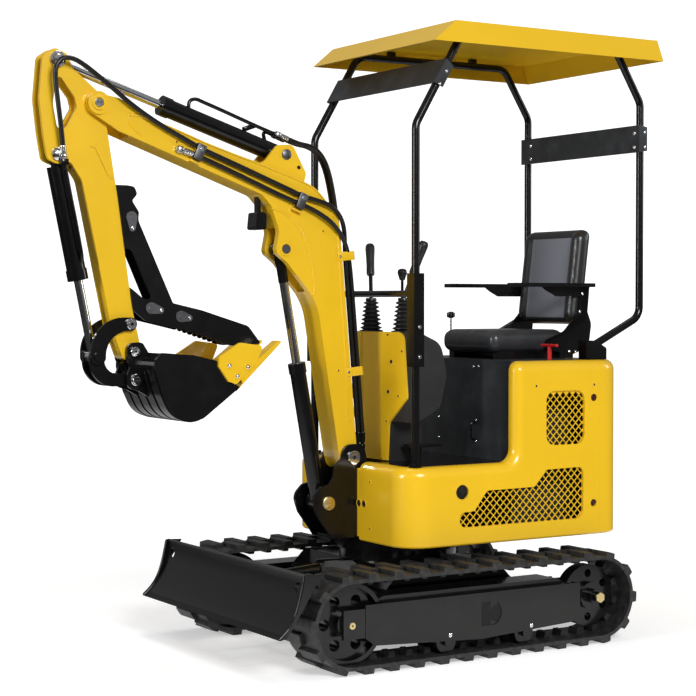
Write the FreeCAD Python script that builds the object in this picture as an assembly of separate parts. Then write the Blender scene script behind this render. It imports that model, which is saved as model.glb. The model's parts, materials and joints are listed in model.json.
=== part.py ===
"""Mini excavator on rubber tracks: one STEP file for each sub-part.

Millimetres. +X points forwards to the blade, +Y to the operator's left, +Z up.
The origin lies on the ground under the slew axis.
"""
import FreeCAD, Part
import math
import os

V = FreeCAD.Vector

# ---------------------------------------------------------------- clearances
SEAT = 0.3            # between rigid pieces that bear on each other
RUN = 0.5             # each side of a ram eye between its ears

# ---------------------------------------------------------------- tracks
TRACK_HALF = 490.0    # centre line of the machine to a track's outer edge
BELT_W = 190.0
LUG_TIP_R = 157.5     # wheel axis to the tips of the lugs, so also the axle height
LUG_H = 15.0
BELT_T = 12.0
LUG_COUNT = 30
LUG_LEN = 34.0        # along the belt
LUG_W = 112.0         # across the belt, each row reaching past the middle
GUIDE_COUNT = 40
GUIDE_H = 20.0
GUIDE_LEN = 24.0
GUIDE_W = 46.0
IDLER_X = 480.0
SPROCKET_X = -510.0
AXLE_Z = LUG_TIP_R
BELT_OUT_R = LUG_TIP_R - LUG_H
BELT_IN_R = BELT_OUT_R - BELT_T
TRACK_MID = TRACK_HALF - BELT_W / 2

WHEEL_RIM = 34.0      # width of each of an idler's two rims
IDLER_HUB_R = 44.0
HUB_HALF = 66.0       # half the length of a wheel's hub
SHAFT_R = 17.0        # sprocket shaft's outer end
ROLLER_R = 38.0
ROLLER_X = (-205.0, 110.0)
ROLLER_HALF = 62.0
FRAME_X = (-395.0, 395.0)
FRAME_Z = (84.0, 215.0)
FRAME_SIDE = 8.0      # plate of a track frame
FRAME_OUT = TRACK_HALF - 14.0      # outer face of a track frame from the centre line

# ---------------------------------------------------------------- centre frame and slew ring
SLEW_R = 205.0
RING_Z = (300.0, 322.0)            # lower ring, split
CENTRE_X = (-260.0, 250.0)
CENTRE_Z = (120.0, 285.0)

# ---------------------------------------------------------------- blade
BLADE_PIVOT = (372.0, 140.0)
BLADE_TOP = (652.0, 328.0)
BLADE_MID = (676.0, 222.0)
BLADE_FOOT = (748.0, 137.0)
BLADE_T = 8.0
BLADE_ARM_Y = 118.0
TIE_DOWN_R = 17.0                  # lashing holes in the blade's upper corners
TIE_DOWN_Y = 441.0
TIE_DOWN_DROP = 43.0               # below the blade's top edge
BLADE_RAM_FOOT = (305.0, 258.0)
BLADE_RAM_EYE = (640.0, 235.0)

# ---------------------------------------------------------------- house
HOUSE_HALF = 372.0
HOUSE_FRONT = 208.0
HOUSE_REAR = -715.0
HOUSE_BOTTOM = 357.0
FLOOR_Z = HOUSE_BOTTOM + 10.0      # top of the house's base plate
DECK_Z = 623.0
HOOD_Z = 965.0
HOOD_FRONT = -235.0
COVER_SEAM = -600.0
COVER_T = 10.0
FRONT_R = 95.0
REAR_R = 100.0
EDGE_R = 34.0         # outer rounding of the covers' rims
FOOT_R = 9.0          # rounding of their lower edge
STEP_R = 45.0         # where the deck's rim turns up to the hood
RIM_W = 42.0          # top flange of the covers round the deck
FILLER_R = 25.5       # round hole ahead of the lower vent
LATCH_R = 13.0        # latch holes by the seam
GRILLE_PITCH = 27.7   # of the square holes, corner to corner
GRILLE_STRAND = 3.0
GRILLE_T = 3.0
GRILLE_LAP = 10.0     # mesh behind the vent's edge
NOSE_HALF = 82.0      # half the gap between the two front covers

# ---------------------------------------------------------------- boom bracket
FOOT = (221.0, 638.0)          # boom foot pin
LIFT_FOOT = (320.0, 488.0)     # lift ram's foot pin
BRACKET_IN = 54.0
BRACKET_T = 12.0

# ---------------------------------------------------------------- boom, arm, bucket
BOOM_HALF = 52.0
BOOM_SKIN = 10.0
NOSE = (1144.0, 1784.0)        # arm pivot
LIFT_EYE = (475.0, 1341.0)
ARM_RAM_FOOT = (469.0, 1654.0)
ARM_HALF = 31.0
TOOTH_HALF = 22.0
CLEAR = 5.0           # beside a piece that moves past
THUMB_T = 8.0
THUMB_PINS = [(1025.0, 1433.0), (957.0, 1145.0), (852.0, 1119.0)]
THUMB_TEETH = 8
THUMB_GULLETS = [(712.0, 1031.0), (838.0, 1072.0)]  # first and last hollow between the jaw's teeth
THUMB_GULLET_R = 6.0
ARM_RAM_EYE = (1271.0, 1912.0)
BUCKET_RAM_FOOT = (1271.0, 1621.0)
GUIDE_PIN = (1033.0, 1096.0)
LINK_PIN = (1143.0, 994.0)
BUCKET_PIN = (1022.0, 1009.0)
TIE_PIN = (1018.0, 920.0)      # bucket link's pin on the bucket
BUCKET_HALF = 150.0

# ---------------------------------------------------------------- canopy
POST_Y = 325.0
TUBE_R = 13.5
POST_FRONT_X = 142.0
GRAB_Z = 1193.0
POST_REAR_X = -818.0
ROOF_X = (-870.0, 111.0)
ROOF_HALF = 390.0
ROOF_SKIRT_Z = 2017.0
ROOF_RIDGE_Z = 2088.0
ROOF_RIDGE_X = (-840.0, 26.0)
ROOF_T = 3.0
LEAN_FRONT = (1748.0, -42.0)       # height where the front posts lean back, and where they meet the top
LEAN_REAR = (1872.0, -700.0)
TUBE_BEND = 55.0
CLIP_H = 14.0                      # roof above the hoops' top runs
CLIP_X = (-185.0, -552.0)
BRACE_REAR_Z = (1697.0, 1793.0)


# ================================================================ helpers
def rounded_wire(corners, place):
    """A closed outline. A corner is (a, b), or (a, b, radius) to round it off."""
    count = len(corners)
    starts, ends, arcs = [], [], []
    for i, corner in enumerate(corners):
        a, b = corner[0], corner[1]
        r = corner[2] if len(corner) > 2 else 0.0
        before, after = corners[i - 1], corners[(i + 1) % count]
        u = (before[0] - a, before[1] - b)
        w = (after[0] - a, after[1] - b)
        lu, lw = math.hypot(*u), math.hypot(*w)
        u, w = (u[0] / lu, u[1] / lu), (w[0] / lw, w[1] / lw)
        if not r:
            starts.append((a, b))
            ends.append((a, b))
            arcs.append(None)
            continue
        half = math.acos(max(-1.0, min(1.0, u[0] * w[0] + u[1] * w[1]))) / 2
        cut = r / math.tan(half)
        mid = (u[0] + w[0], u[1] + w[1])
        lm = math.hypot(*mid)
        reach = r / math.sin(half) - r
        starts.append((a + u[0] * cut, b + u[1] * cut))
        ends.append((a + w[0] * cut, b + w[1] * cut))
        arcs.append((a + mid[0] / lm * reach, b + mid[1] / lm * reach))
    edges = []
    for i in range(count):
        if arcs[i]:
            edges.append(Part.Arc(place(*starts[i]), place(*arcs[i]), place(*ends[i])).toShape())
        p, q = place(*ends[i]), place(*starts[(i + 1) % count])
        if (q - p).Length > 1e-6:
            edges.append(Part.LineSegment(p, q).toShape())
    return Part.Wire(edges)


def plate_y(corners, y_low, y_high):
    """A plate with its outline in the XZ plane."""
    wire = rounded_wire(corners, lambda a, b: V(a, y_low, b))
    return Part.Face(wire).extrude(V(0, y_high - y_low, 0))


def plate_z(corners, z_low, z_high):
    """A plate with its outline in the XY plane."""
    wire = rounded_wire(corners, lambda a, b: V(a, b, z_low))
    return Part.Face(wire).extrude(V(0, 0, z_high - z_low))


def plate_x(corners, x_low, x_high):
    """A plate with its outline in the YZ plane."""
    wire = rounded_wire(corners, lambda a, b: V(x_low, a, b))
    return Part.Face(wire).extrude(V(x_high - x_low, 0, 0))


def block(x, y, z):
    """A box between pairs of limits."""
    return Part.makeBox(x[1] - x[0], y[1] - y[0], z[1] - z[0], V(x[0], y[0], z[0]))


def disc_y(point, radius, y_low, y_high):
    """A round with its axis across the machine."""
    return Part.makeCylinder(radius, y_high - y_low, V(point[0], y_low, point[1]), V(0, 1, 0))


def both_sides(shape):
    """A shape and its mirror image across the machine's middle plane."""
    return [shape, shape.mirror(V(0, 0, 0), V(0, 1, 0))]


def mirrored(shape):
    return shape.mirror(V(0, 0, 0), V(0, 1, 0))


def fuse(shapes):
    """Join touching shapes into as few solids as they make."""
    first = shapes[0]
    if len(shapes) > 1:
        first = first.fuse(shapes[1:])
    return first.removeSplitter()


def along(p, q, distance):
    """The point at a distance from p towards q, both in the XZ plane."""
    length = math.hypot(q[0] - p[0], q[1] - p[1])
    return (p[0] + (q[0] - p[0]) * distance / length, p[1] + (q[1] - p[1]) * distance / length)


def span(p, q):
    return math.hypot(q[0] - p[0], q[1] - p[1])


def round_between(p, q, radius, y=0.0):
    """A round bar between two points of the XZ plane."""
    return Part.makeCylinder(
        radius, span(p, q), V(p[0], y, p[1]), V(q[0] - p[0], 0, q[1] - p[1])
    )


def bent_tube(points, bend, radius):
    """A round tube's outside along straight runs joined by arcs of one radius."""
    edges = []
    at = V(*points[0])
    for i in range(1, len(points) - 1):
        here, before, after = V(*points[i]), V(*points[i - 1]), V(*points[i + 1])
        u = (before - here).normalize()
        w = (after - here).normalize()
        half = u.getAngle(w) / 2
        cut = bend / math.tan(half)
        start, end = here + u * cut, here + w * cut
        middle = here + (u + w).normalize() * (bend / math.sin(half) - bend)
        edges.append(Part.LineSegment(at, start).toShape())
        edges.append(Part.Arc(start, middle, end).toShape())
        at = end
    edges.append(Part.LineSegment(at, V(*points[-1])).toShape())
    path = Part.Wire(edges)
    run = V(*points[1]) - V(*points[0])
    ring = Part.Wire(Part.Circle(V(*points[0]), run, radius).toShape())
    return path.makePipeShell([ring], True, True)


def save(name, shapes):
    """Write one sub-part; separate solids stay separate."""
    solids = []
    for shape in shapes if isinstance(shapes, list) else [shapes]:
        solids += shape.Solids
    whole = solids[0] if len(solids) == 1 else Part.makeCompound(solids)
    whole.exportStep("parts/%s.step" % name)


# ================================================================ undercarriage
def loop_length(radius):
    return 2 * (IDLER_X - SPROCKET_X) + 2 * math.pi * radius


def loop_frame(distance, radius):
    """Point, outward normal and tangent on the track's loop at a distance along it."""
    straight = IDLER_X - SPROCKET_X
    arc = math.pi * radius
    distance %= loop_length(radius)
    if distance < straight:
        return (SPROCKET_X + distance, AXLE_Z - radius), -90.0
    distance -= straight
    if distance < arc:
        turn = -90.0 + math.degrees(distance / radius)
        a = math.radians(turn)
        return (IDLER_X + radius * math.cos(a), AXLE_Z + radius * math.sin(a)), turn
    distance -= arc
    if distance < straight:
        return (IDLER_X - distance, AXLE_Z + radius), 90.0
    distance -= straight
    turn = 90.0 + math.degrees(distance / radius)
    a = math.radians(turn)
    return (SPROCKET_X + radius * math.cos(a), AXLE_Z + radius * math.sin(a)), turn


def stadium(radius, y_low, y_high):
    """The solid inside the track's loop at one radius."""
    ends = [disc_y((x, AXLE_Z), radius, y_low, y_high) for x in (IDLER_X, SPROCKET_X)]
    middle = block((SPROCKET_X, IDLER_X), (y_low, y_high), (AXLE_Z - radius, AXLE_Z + radius))
    return fuse([ends[0], middle, ends[1]])


def tooth(point, turn, foot, tip, height, sink, y_low, y_high):
    """A tapered block standing outwards at a point of the loop, or inwards if height is negative."""
    a = math.radians(turn)
    out, side = (math.cos(a), math.sin(a)), (-math.sin(a), math.cos(a))
    sign = 1.0 if height > 0 else -1.0

    def at(across, up):
        return (point[0] + out[0] * up + side[0] * across, point[1] + out[1] * up + side[1] * across)

    corners = [
        at(-foot / 2, -sink * sign),
        at(foot / 2, -sink * sign),
        at(tip / 2, height),
        at(-tip / 2, height),
    ]
    return plate_y(corners, y_low, y_high)


def track():
    """The left rubber track: belt, two staggered rows of lugs, and a row of guides inside."""
    y_low, y_high = TRACK_HALF - BELT_W, TRACK_HALF
    belt = stadium(BELT_OUT_R, y_low, y_high).cut(stadium(BELT_IN_R, y_low, y_high))
    sink = 4.0
    tapers = 6.0
    pieces = []
    pitch = loop_length(BELT_OUT_R) / LUG_COUNT
    for i in range(LUG_COUNT):
        for row, shift in ((0, 0.0), (1, 0.5)):
            point, turn = loop_frame((i + 0.25 + shift) * pitch, BELT_OUT_R)
            low = y_low if row == 0 else y_high - LUG_W
            pieces.append(
                tooth(point, turn, LUG_LEN + tapers, LUG_LEN, LUG_H, sink, low, low + LUG_W)
            )
    pitch = loop_length(BELT_IN_R) / GUIDE_COUNT
    for i in range(GUIDE_COUNT):
        point, turn = loop_frame((i + 0.5) * pitch, BELT_IN_R)
        pieces.append(
            tooth(
                point, turn, GUIDE_LEN + tapers, GUIDE_LEN - tapers, -GUIDE_H, sink,
                TRACK_MID - GUIDE_W / 2, TRACK_MID + GUIDE_W / 2,
            )
        )
    return belt.fuse(pieces).common(stadium(LUG_TIP_R, y_low, y_high))


def idler():
    """The left front idler: two rims that run either side of the guides, on one holed web."""
    inner = GUIDE_W / 2 + 3.0
    outer = inner + WHEEL_RIM
    axle = (IDLER_X, AXLE_Z)
    rim_r = BELT_IN_R - SEAT
    web_r = BELT_IN_R - GUIDE_H - 6.0
    rims = disc_y(axle, rim_r, TRACK_MID - outer, TRACK_MID + outer)
    rims = rims.cut(disc_y(axle, rim_r - 14, TRACK_MID + inner + 12, TRACK_MID + outer + 1))
    rims = rims.cut(disc_y(axle, rim_r - 14, TRACK_MID - outer - 1, TRACK_MID - inner - 12))
    groove = disc_y(axle, rim_r + 5, TRACK_MID - inner, TRACK_MID + inner)
    rims = rims.cut(groove.cut(disc_y(axle, web_r, TRACK_MID - inner - 1, TRACK_MID + inner + 1)))
    for i in range(6):
        a = math.radians(60 * i)
        spot = (IDLER_X + 78 * math.cos(a), AXLE_Z + 78 * math.sin(a))
        rims = rims.cut(disc_y(spot, 19.0, TRACK_MID - outer - 1, TRACK_MID + outer + 1))
    return fuse([rims, disc_y(axle, IDLER_HUB_R, TRACK_MID - HUB_HALF, TRACK_MID + HUB_HALF)])


def sprocket():
    """The left rear sprocket: a disc with six round holes, its drive hub and a hexagon end."""
    disc_r = BELT_IN_R - GUIDE_H - 6.0
    half = GUIDE_W / 2
    axle = (SPROCKET_X, AXLE_Z)
    wheel = fuse([
        disc_y(axle, disc_r, TRACK_MID - half, TRACK_MID + half),
        disc_y(axle, 46.0, TRACK_MID - HUB_HALF, TRACK_MID + half + 20),
        disc_y(axle, 24.0, TRACK_MID + half, TRACK_MID + HUB_HALF),
        disc_y(axle, SHAFT_R, TRACK_MID, FRAME_OUT + 2),
    ])
    for i in range(6):
        a = math.radians(30 + 60 * i)
        spot = (SPROCKET_X + 75 * math.cos(a), AXLE_Z + 75 * math.sin(a))
        wheel = wheel.cut(disc_y(spot, 14.0, TRACK_MID - half - 1, TRACK_MID + half + 1))
    return wheel


def track_frame():
    """The left track frame: a box with a yoke for the idler, a motor plate and two rollers."""
    inner = 2 * TRACK_MID - FRAME_OUT
    low, high = FRAME_Z
    side = [
        (FRAME_X[0] - 35, high), (FRAME_X[0] - 35, low + 26), (FRAME_X[0], low), (-16, low - 20),
        (FRAME_X[1], low), (FRAME_X[1] + 35, low + 26), (FRAME_X[1] + 35, high),
    ]
    body = plate_y(side, inner + FRAME_SIDE, FRAME_OUT - FRAME_SIDE)
    roof = plate_y(
        [(FRAME_X[0], high - 2), (FRAME_X[1], high - 2), (FRAME_X[1] - 50, high + 18),
         (FRAME_X[0] + 50, high + 18)],
        inner + 30, FRAME_OUT - 30,
    )
    frame = fuse([body, roof])
    for x in (IDLER_X, SPROCKET_X):
        frame = frame.cut(disc_y((x, AXLE_Z), BELT_IN_R + 5, inner, FRAME_OUT))
    skin = plate_y(side, FRAME_OUT - FRAME_SIDE - 1, FRAME_OUT)
    hatch = [(-17, high - 30), (-17, high - 109), (-80, high - 109, 30), (-109, high - 69.5, 39),
             (-80, high - 30, 30)]
    skin = skin.cut(plate_y(hatch, FRAME_OUT - 3, FRAME_OUT + 1))
    inside = plate_y(side, inner, inner + FRAME_SIDE + 1)
    parts = [frame, skin, inside]
    for a, b in ((HUB_HALF + SEAT, HUB_HALF + SEAT + 13), (-HUB_HALF - SEAT - 13, -HUB_HALF - SEAT)):
        parts.append(
            block((FRAME_X[1] + 20, IDLER_X + 30), (TRACK_MID + a, TRACK_MID + b),
                  (AXLE_Z - 46, AXLE_Z + 46))
        )
    motor = block((SPROCKET_X - 44, FRAME_X[0] - 20), (inner, TRACK_MID - HUB_HALF - SEAT),
                  (AXLE_Z - 50, AXLE_Z + 50))
    parts.append(motor)
    frame = fuse(parts)
    z = BELT_T + LUG_H + ROLLER_R + SEAT
    for x in ROLLER_X:
        frame = frame.cut(disc_y((x, z), ROLLER_R + 6, inner - 1, FRAME_OUT - FRAME_SIDE))
        roller = [
            disc_y((x, z), ROLLER_R, TRACK_MID - ROLLER_HALF, TRACK_MID - GUIDE_W / 2 - 4),
            disc_y((x, z), ROLLER_R, TRACK_MID + GUIDE_W / 2 + 4, TRACK_MID + ROLLER_HALF),
            disc_y((x, z), 14.0, inner + 4, FRAME_OUT - 4),
            block((x - 14, x + 14), (inner + 2, inner + 12), (z, low + 66)),
        ]
        frame = fuse([frame] + roller)
    return frame


def centre_frame():
    """The box between the tracks, the lower slew ring and the ears that carry the blade."""
    side = 2 * TRACK_MID - FRAME_OUT
    body = plate_y(
        [(CENTRE_X[0], CENTRE_Z[0]), (CENTRE_X[1], CENTRE_Z[0]),
         (CENTRE_X[1], CENTRE_Z[1] - 60), (CENTRE_X[1] - 60, CENTRE_Z[1]),
         (CENTRE_X[0] + 60, CENTRE_Z[1]), (CENTRE_X[0], CENTRE_Z[1] - 60)],
        -side + SEAT, side - SEAT,
    )
    ring = Part.makeCylinder(SLEW_R, RING_Z[1] - CENTRE_Z[1] + 1, V(0, 0, CENTRE_Z[1] - 1))
    parts = [body, ring]
    ear = [
        (CENTRE_X[1] - 4, BLADE_PIVOT[1] - 30), (BLADE_PIVOT[0] + 32, BLADE_PIVOT[1] - 30, 30),
        (BLADE_PIVOT[0] + 32, BLADE_PIVOT[1] + 32, 30), (CENTRE_X[1] - 4, BLADE_PIVOT[1] + 62),
    ]
    for y in (BLADE_ARM_Y, -BLADE_ARM_Y):
        for low in (y - 9 - RUN - 12, y + 9 + RUN):
            parts.append(plate_y(ear, low, low + 12))
        parts.append(disc_y(BLADE_PIVOT, 14.9, y - 21, y + 21))
    ram_ear = [
        (CENTRE_X[1] - 40, CENTRE_Z[1] - 70), (BLADE_RAM_FOOT[0] + 4, CENTRE_Z[1] - 90),
        (BLADE_RAM_FOOT[0] + 28, BLADE_RAM_FOOT[1], 20), (BLADE_RAM_FOOT[0] + 6, BLADE_RAM_FOOT[1] + 30, 14),
        (CENTRE_X[1] - 60, CENTRE_Z[1] - 2),
    ]
    for low in (22 + RUN, -34 - RUN):
        parts.append(plate_y(ram_ear, low, low + 12))
    return fuse(parts)


# ================================================================ blade
def blade():
    """The dozer blade: a concave mouldboard with end plates, and its two arms."""
    back = [(BLADE_TOP[0] - BLADE_T, BLADE_TOP[1]), (BLADE_MID[0] - BLADE_T, BLADE_MID[1] - 2),
            (BLADE_FOOT[0] - BLADE_T, BLADE_FOOT[1])]
    y = -TRACK_HALF

    def point(p):
        return V(p[0], y, p[1])

    front_edge = Part.Arc(point(BLADE_TOP), point(BLADE_MID), point(BLADE_FOOT)).toShape()
    back_edge = Part.Arc(point(back[2]), point(back[1]), point(back[0])).toShape()
    foot_edge = Part.LineSegment(point(BLADE_FOOT), point(back[2])).toShape()
    top_edge = Part.LineSegment(point(back[0]), point(BLADE_TOP)).toShape()
    board = Part.Face(Part.Wire([front_edge, foot_edge, back_edge, top_edge]))
    board = board.extrude(V(0, 2 * TRACK_HALF, 0))
    centre, radius = front_edge.Curve.Center, front_edge.Curve.Radius
    high = BLADE_TOP[1] - TIE_DOWN_DROP
    inner = V(centre.x - math.sqrt(radius ** 2 - (high - centre.z) ** 2), 0, high)
    out = V(centre.x, 0, centre.z) - inner
    for side in (1, -1):
        start = inner - out.normalize() * 30 + V(0, side * TIE_DOWN_Y, 0)
        hole = Part.makeCylinder(TIE_DOWN_R, 60.0, start, out)
        board = board.cut(hole)
    end = [
        (BLADE_TOP[0] + 4, BLADE_TOP[1]), (BLADE_TOP[0] + 14, BLADE_TOP[1] - 50),
        (BLADE_MID[0] + 8, BLADE_MID[1]), (BLADE_MID[0] + 34, BLADE_MID[1] - 50),
        (BLADE_FOOT[0], BLADE_FOOT[1]), (BLADE_FOOT[0] - 24, BLADE_FOOT[1] + 2),
        (BLADE_FOOT[0] - 50, BLADE_FOOT[1] + 37), (BLADE_TOP[0] - 54, BLADE_TOP[1] - 3),
    ]
    end_plate = plate_y(end, TRACK_HALF - 8, TRACK_HALF)
    arm = [
        (BLADE_PIVOT[0] - 26, BLADE_PIVOT[1] - 8, 20), (BLADE_PIVOT[0] + 10, BLADE_PIVOT[1] - 26, 14),
        (BLADE_FOOT[0] - 60, BLADE_FOOT[1] + 16), (BLADE_MID[0] - 4, BLADE_MID[1] - 10),
        (BLADE_MID[0] - 8, BLADE_MID[1] + 20), (BLADE_PIVOT[0] + 40, BLADE_PIVOT[1] + 38),
        (BLADE_PIVOT[0] - 12, BLADE_PIVOT[1] + 26, 20),
    ]
    parts = [board] + both_sides(end_plate)
    for y_mid in (BLADE_ARM_Y, -BLADE_ARM_Y):
        plate = plate_y(arm, y_mid - 9, y_mid + 9)
        parts.append(plate.cut(disc_y(BLADE_PIVOT, 15.0, y_mid - 10, y_mid + 10)))
    cross = block((BLADE_PIVOT[0] + 90, BLADE_PIVOT[0] + 130),
                  (-BLADE_ARM_Y, BLADE_ARM_Y), (BLADE_PIVOT[1] - 12, BLADE_PIVOT[1] + 18))
    parts.append(cross)
    ear = [
        (BLADE_RAM_EYE[0] + 60, BLADE_RAM_EYE[1] - 60), (BLADE_RAM_EYE[0] + 40, BLADE_RAM_EYE[1] + 30),
        (BLADE_RAM_EYE[0] - 24, BLADE_RAM_EYE[1] + 26, 20),
        (BLADE_RAM_EYE[0] - 24, BLADE_RAM_EYE[1] - 26, 20),
    ]
    hollow = Part.makeCylinder(radius + BLADE_T / 2, 2 * TRACK_HALF, V(centre.x, y, centre.z), V(0, 1, 0))
    for low in (16 + RUN, -26 - RUN):
        parts.append(plate_y(ear, low, low + 10).cut(hollow))
    return fuse(parts)


# ================================================================ rams
def ram(foot, eye, gland, barrel_r, rod_r, rod_tail, eye_half, foot_half, foot_r, neck):
    """A hydraulic ram at rest between two pins of the XZ plane, as barrel and rod.

    From the foot pin: neck is where the full barrel starts, gland where it ends and
    rod_tail where the rod inside it ends.
    """
    bore_r = rod_r + 0.5
    mouth = along(foot, eye, gland)
    tube = round_between(along(foot, eye, neck), mouth, barrel_r)
    head = round_between(along(foot, eye, gland - 34), mouth, barrel_r + 3)
    throat = round_between(foot, along(foot, eye, neck + 1), min(foot_half, foot_r) - 1)
    knuckle = disc_y(foot, foot_r, -foot_half, foot_half)
    barrel = fuse([tube, head, throat, knuckle])
    bore = round_between(along(foot, eye, neck + 14), along(foot, eye, gland + 5), bore_r)
    barrel = barrel.cut(bore)
    shaft = round_between(along(foot, eye, rod_tail), along(foot, eye, span(foot, eye) - 4), rod_r)
    boss = disc_y(eye, rod_r * 1.55, -eye_half, eye_half)
    return barrel, fuse([shaft, boss])


def blade_ram():
    return ram(BLADE_RAM_FOOT, BLADE_RAM_EYE, 200.0, 22.0, 11.0, 70.0, 16.0, 22.0, 20.0, 15.0)


def lift_ram():
    return ram(LIFT_FOOT, LIFT_EYE, 480.0, 27.0, 15.0, 235.0, 24.0, 30.0, 32.0, 24.0)


def arm_ram():
    return ram(ARM_RAM_FOOT, ARM_RAM_EYE, 462.0, 30.0, 14.0, 326.0, 17.0, 32.0, 30.0, 22.0)


def bucket_ram():
    return ram(BUCKET_RAM_FOOT, LINK_PIN, 395.0, 30.0, 14.0, 262.0, 20.0, 17.0, 24.0, 36.0)


# ================================================================ house
def house_outline(inset):
    front, rear, half = HOUSE_FRONT - inset, HOUSE_REAR + inset, HOUSE_HALF - inset
    return [
        (front, half, FRONT_R - inset), (rear, half, REAR_R - inset),
        (rear, -half, REAR_R - inset), (front, -half, FRONT_R - inset),
    ]


def house_block(inset, z_low, deck, hood, step):
    """The covers' outer or inner solid, its rims rounded: low round the deck, high over the engine."""
    body = plate_z(house_outline(inset), z_low, hood)
    step_cut = plate_y(
        [(HOUSE_FRONT + 50, deck), (HOUSE_FRONT + 50, hood + 50),
         (step, hood + 50), (step, deck, STEP_R + inset)],
        -HOUSE_HALF - 50, HOUSE_HALF + 50,
    )
    body = body.cut(step_cut)
    rim = Part.Face(rounded_wire(house_outline(inset), lambda a, b: V(a, b, 0))).OuterWire

    def on_rim(edge):
        middle = edge.valueAt((edge.FirstParameter + edge.LastParameter) / 2)
        if edge.BoundBox.ZMin < deck - 1:
            return False
        if rim.distToShape(Part.Vertex(V(middle.x, middle.y, 0)))[0] < 0.01:
            return True
        return abs(middle.x - step) < 0.01 and abs(middle.z - hood) < 0.01

    return body.makeFillet(EDGE_R - inset, [edge for edge in body.Edges if on_rim(edge)])


def vent_high():
    """The outline of the upper vent in each side cover."""
    x, z = (COVER_SEAM + 68, HOOD_FRONT - 130), (HOOD_Z - 290, HOOD_Z - 104)
    return [(x[0], z[0], 35), (x[0], z[1], 35), (x[1], z[1], 35), (x[1], z[0], 35)]


def vent_low():
    """The outline of the long lower vent, stepped up to the rear."""
    x, z = COVER_SEAM, HOUSE_BOTTOM
    return [
        (x + 596, z + 60, 24), (x + 73, z + 60, 32), (x + 73, z + 239, 24), (x + 236, z + 236, 22),
        (x + 284, z + 180, 14), (x + 484, z + 178, 18), (x + 536, z + 113, 8), (x + 596, z + 110, 20),
    ]


def grille(outline):
    """A plate with square holes standing on their corners, larger than its vent all round."""
    y_low = HOUSE_HALF - COVER_T - SEAT - GRILLE_T
    corners = [corner[:2] for corner in outline]
    vent = Part.Face(rounded_wire(corners, lambda a, b: V(a, y_low, b)))
    sheet = vent.makeOffset2D(GRILLE_LAP)
    box = sheet.BoundBox
    half = GRILLE_PITCH / 2
    reach = half - GRILLE_STRAND / math.sqrt(2)
    holes = []
    columns = int((box.XMax - box.XMin) / half)
    rows = int((box.ZMax - box.ZMin) / half)
    for i in range(1, columns):
        for j in range(1 + (i + 1) % 2, rows, 2):
            x, z = box.XMin + i * half, box.ZMin + j * half
            tips = [V(x + reach, y_low, z), V(x, y_low, z + reach), V(x - reach, y_low, z),
                    V(x, y_low, z - reach)]
            if all(sheet.isInside(tip, 0.01, True) for tip in tips):
                hole = Part.makePolygon(tips + tips[:1])
                hole.reverse()
                holes.append(hole)
    plate = Part.Face([sheet.OuterWire] + holes)
    return plate.extrude(V(0, GRILLE_T, 0))


def grilles():
    """The mesh behind the four vents."""
    return both_sides(grille(vent_high())) + both_sides(grille(vent_low()))


def covers():
    """The yellow bodywork: left and right covers and the rear cover."""
    outer = house_block(0.0, HOUSE_BOTTOM, DECK_Z, HOOD_Z, HOOD_FRONT)
    outer = outer.makeFillet(FOOT_R, [edge for edge in outer.Edges if edge.BoundBox.ZMax < HOUSE_BOTTOM + 1])
    inner = house_block(COVER_T, HOUSE_BOTTOM - 10, DECK_Z - COVER_T, HOOD_Z - COVER_T,
                        HOOD_FRONT - COVER_T)
    shell = outer.cut(inner)
    deck_hole = plate_z(
        [(HOUSE_FRONT - RIM_W, HOUSE_HALF - RIM_W, FRONT_R - RIM_W),
         (HOOD_FRONT - 30, HOUSE_HALF - RIM_W), (HOOD_FRONT - 30, -HOUSE_HALF + RIM_W),
         (HOUSE_FRONT - RIM_W, -HOUSE_HALF + RIM_W, FRONT_R - RIM_W)],
        DECK_Z - 30, HOOD_Z + 10,
    )
    hood_hole = block((COVER_SEAM, HOOD_FRONT + 50), (-HOUSE_HALF + RIM_W, HOUSE_HALF - RIM_W),
                      (DECK_Z, HOOD_Z + 10))
    shell = shell.cut(deck_hole).cut(hood_hole)
    slot = block((HOUSE_FRONT - 160, HOUSE_FRONT + 10), (-NOSE_HALF, NOSE_HALF),
                 (HOUSE_BOTTOM - 10, HOOD_Z))
    shell = shell.cut(slot)
    wall = (HOUSE_HALF - COVER_T - 1, HOUSE_HALF + 1)
    openings = [plate_y(vent_high(), *wall), plate_y(vent_low(), *wall)]
    openings.append(disc_y((COVER_SEAM + 586, DECK_Z - 89), FILLER_R, *wall))
    for z in (HOOD_Z - 131, HOUSE_BOTTOM + 110):
        openings.append(disc_y((COVER_SEAM + 27, z), LATCH_R, *wall))
    for opening in openings:
        shell = shell.cut(opening).cut(mirrored(opening))
    big = 2000.0
    rear = shell.common(block((-big, COVER_SEAM - SEAT), (-big, big), (0, big)))
    front = shell.common(block((COVER_SEAM, big), (-big, big), (0, big)))
    left = front.common(block((-big, big), (0, big), (0, big)))
    right = front.common(block((-big, big), (-big, 0), (0, big)))
    return left, right, rear


def main_frame():
    """The house's steel base plate on the upper slew ring."""
    inset = COVER_T + 2.5 * SEAT
    plate = plate_z(house_outline(inset), HOUSE_BOTTOM, FLOOR_Z)
    foot = V(0, 0, RING_Z[1] + SEAT)
    height = HOUSE_BOTTOM - RING_Z[1] - 2 * SEAT
    ring = Part.makeCylinder(SLEW_R + 12, height, foot)
    core = Part.makeCylinder(SLEW_R - 12, height + SEAT + 1, foot)
    return fuse([plate, ring, core])


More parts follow.
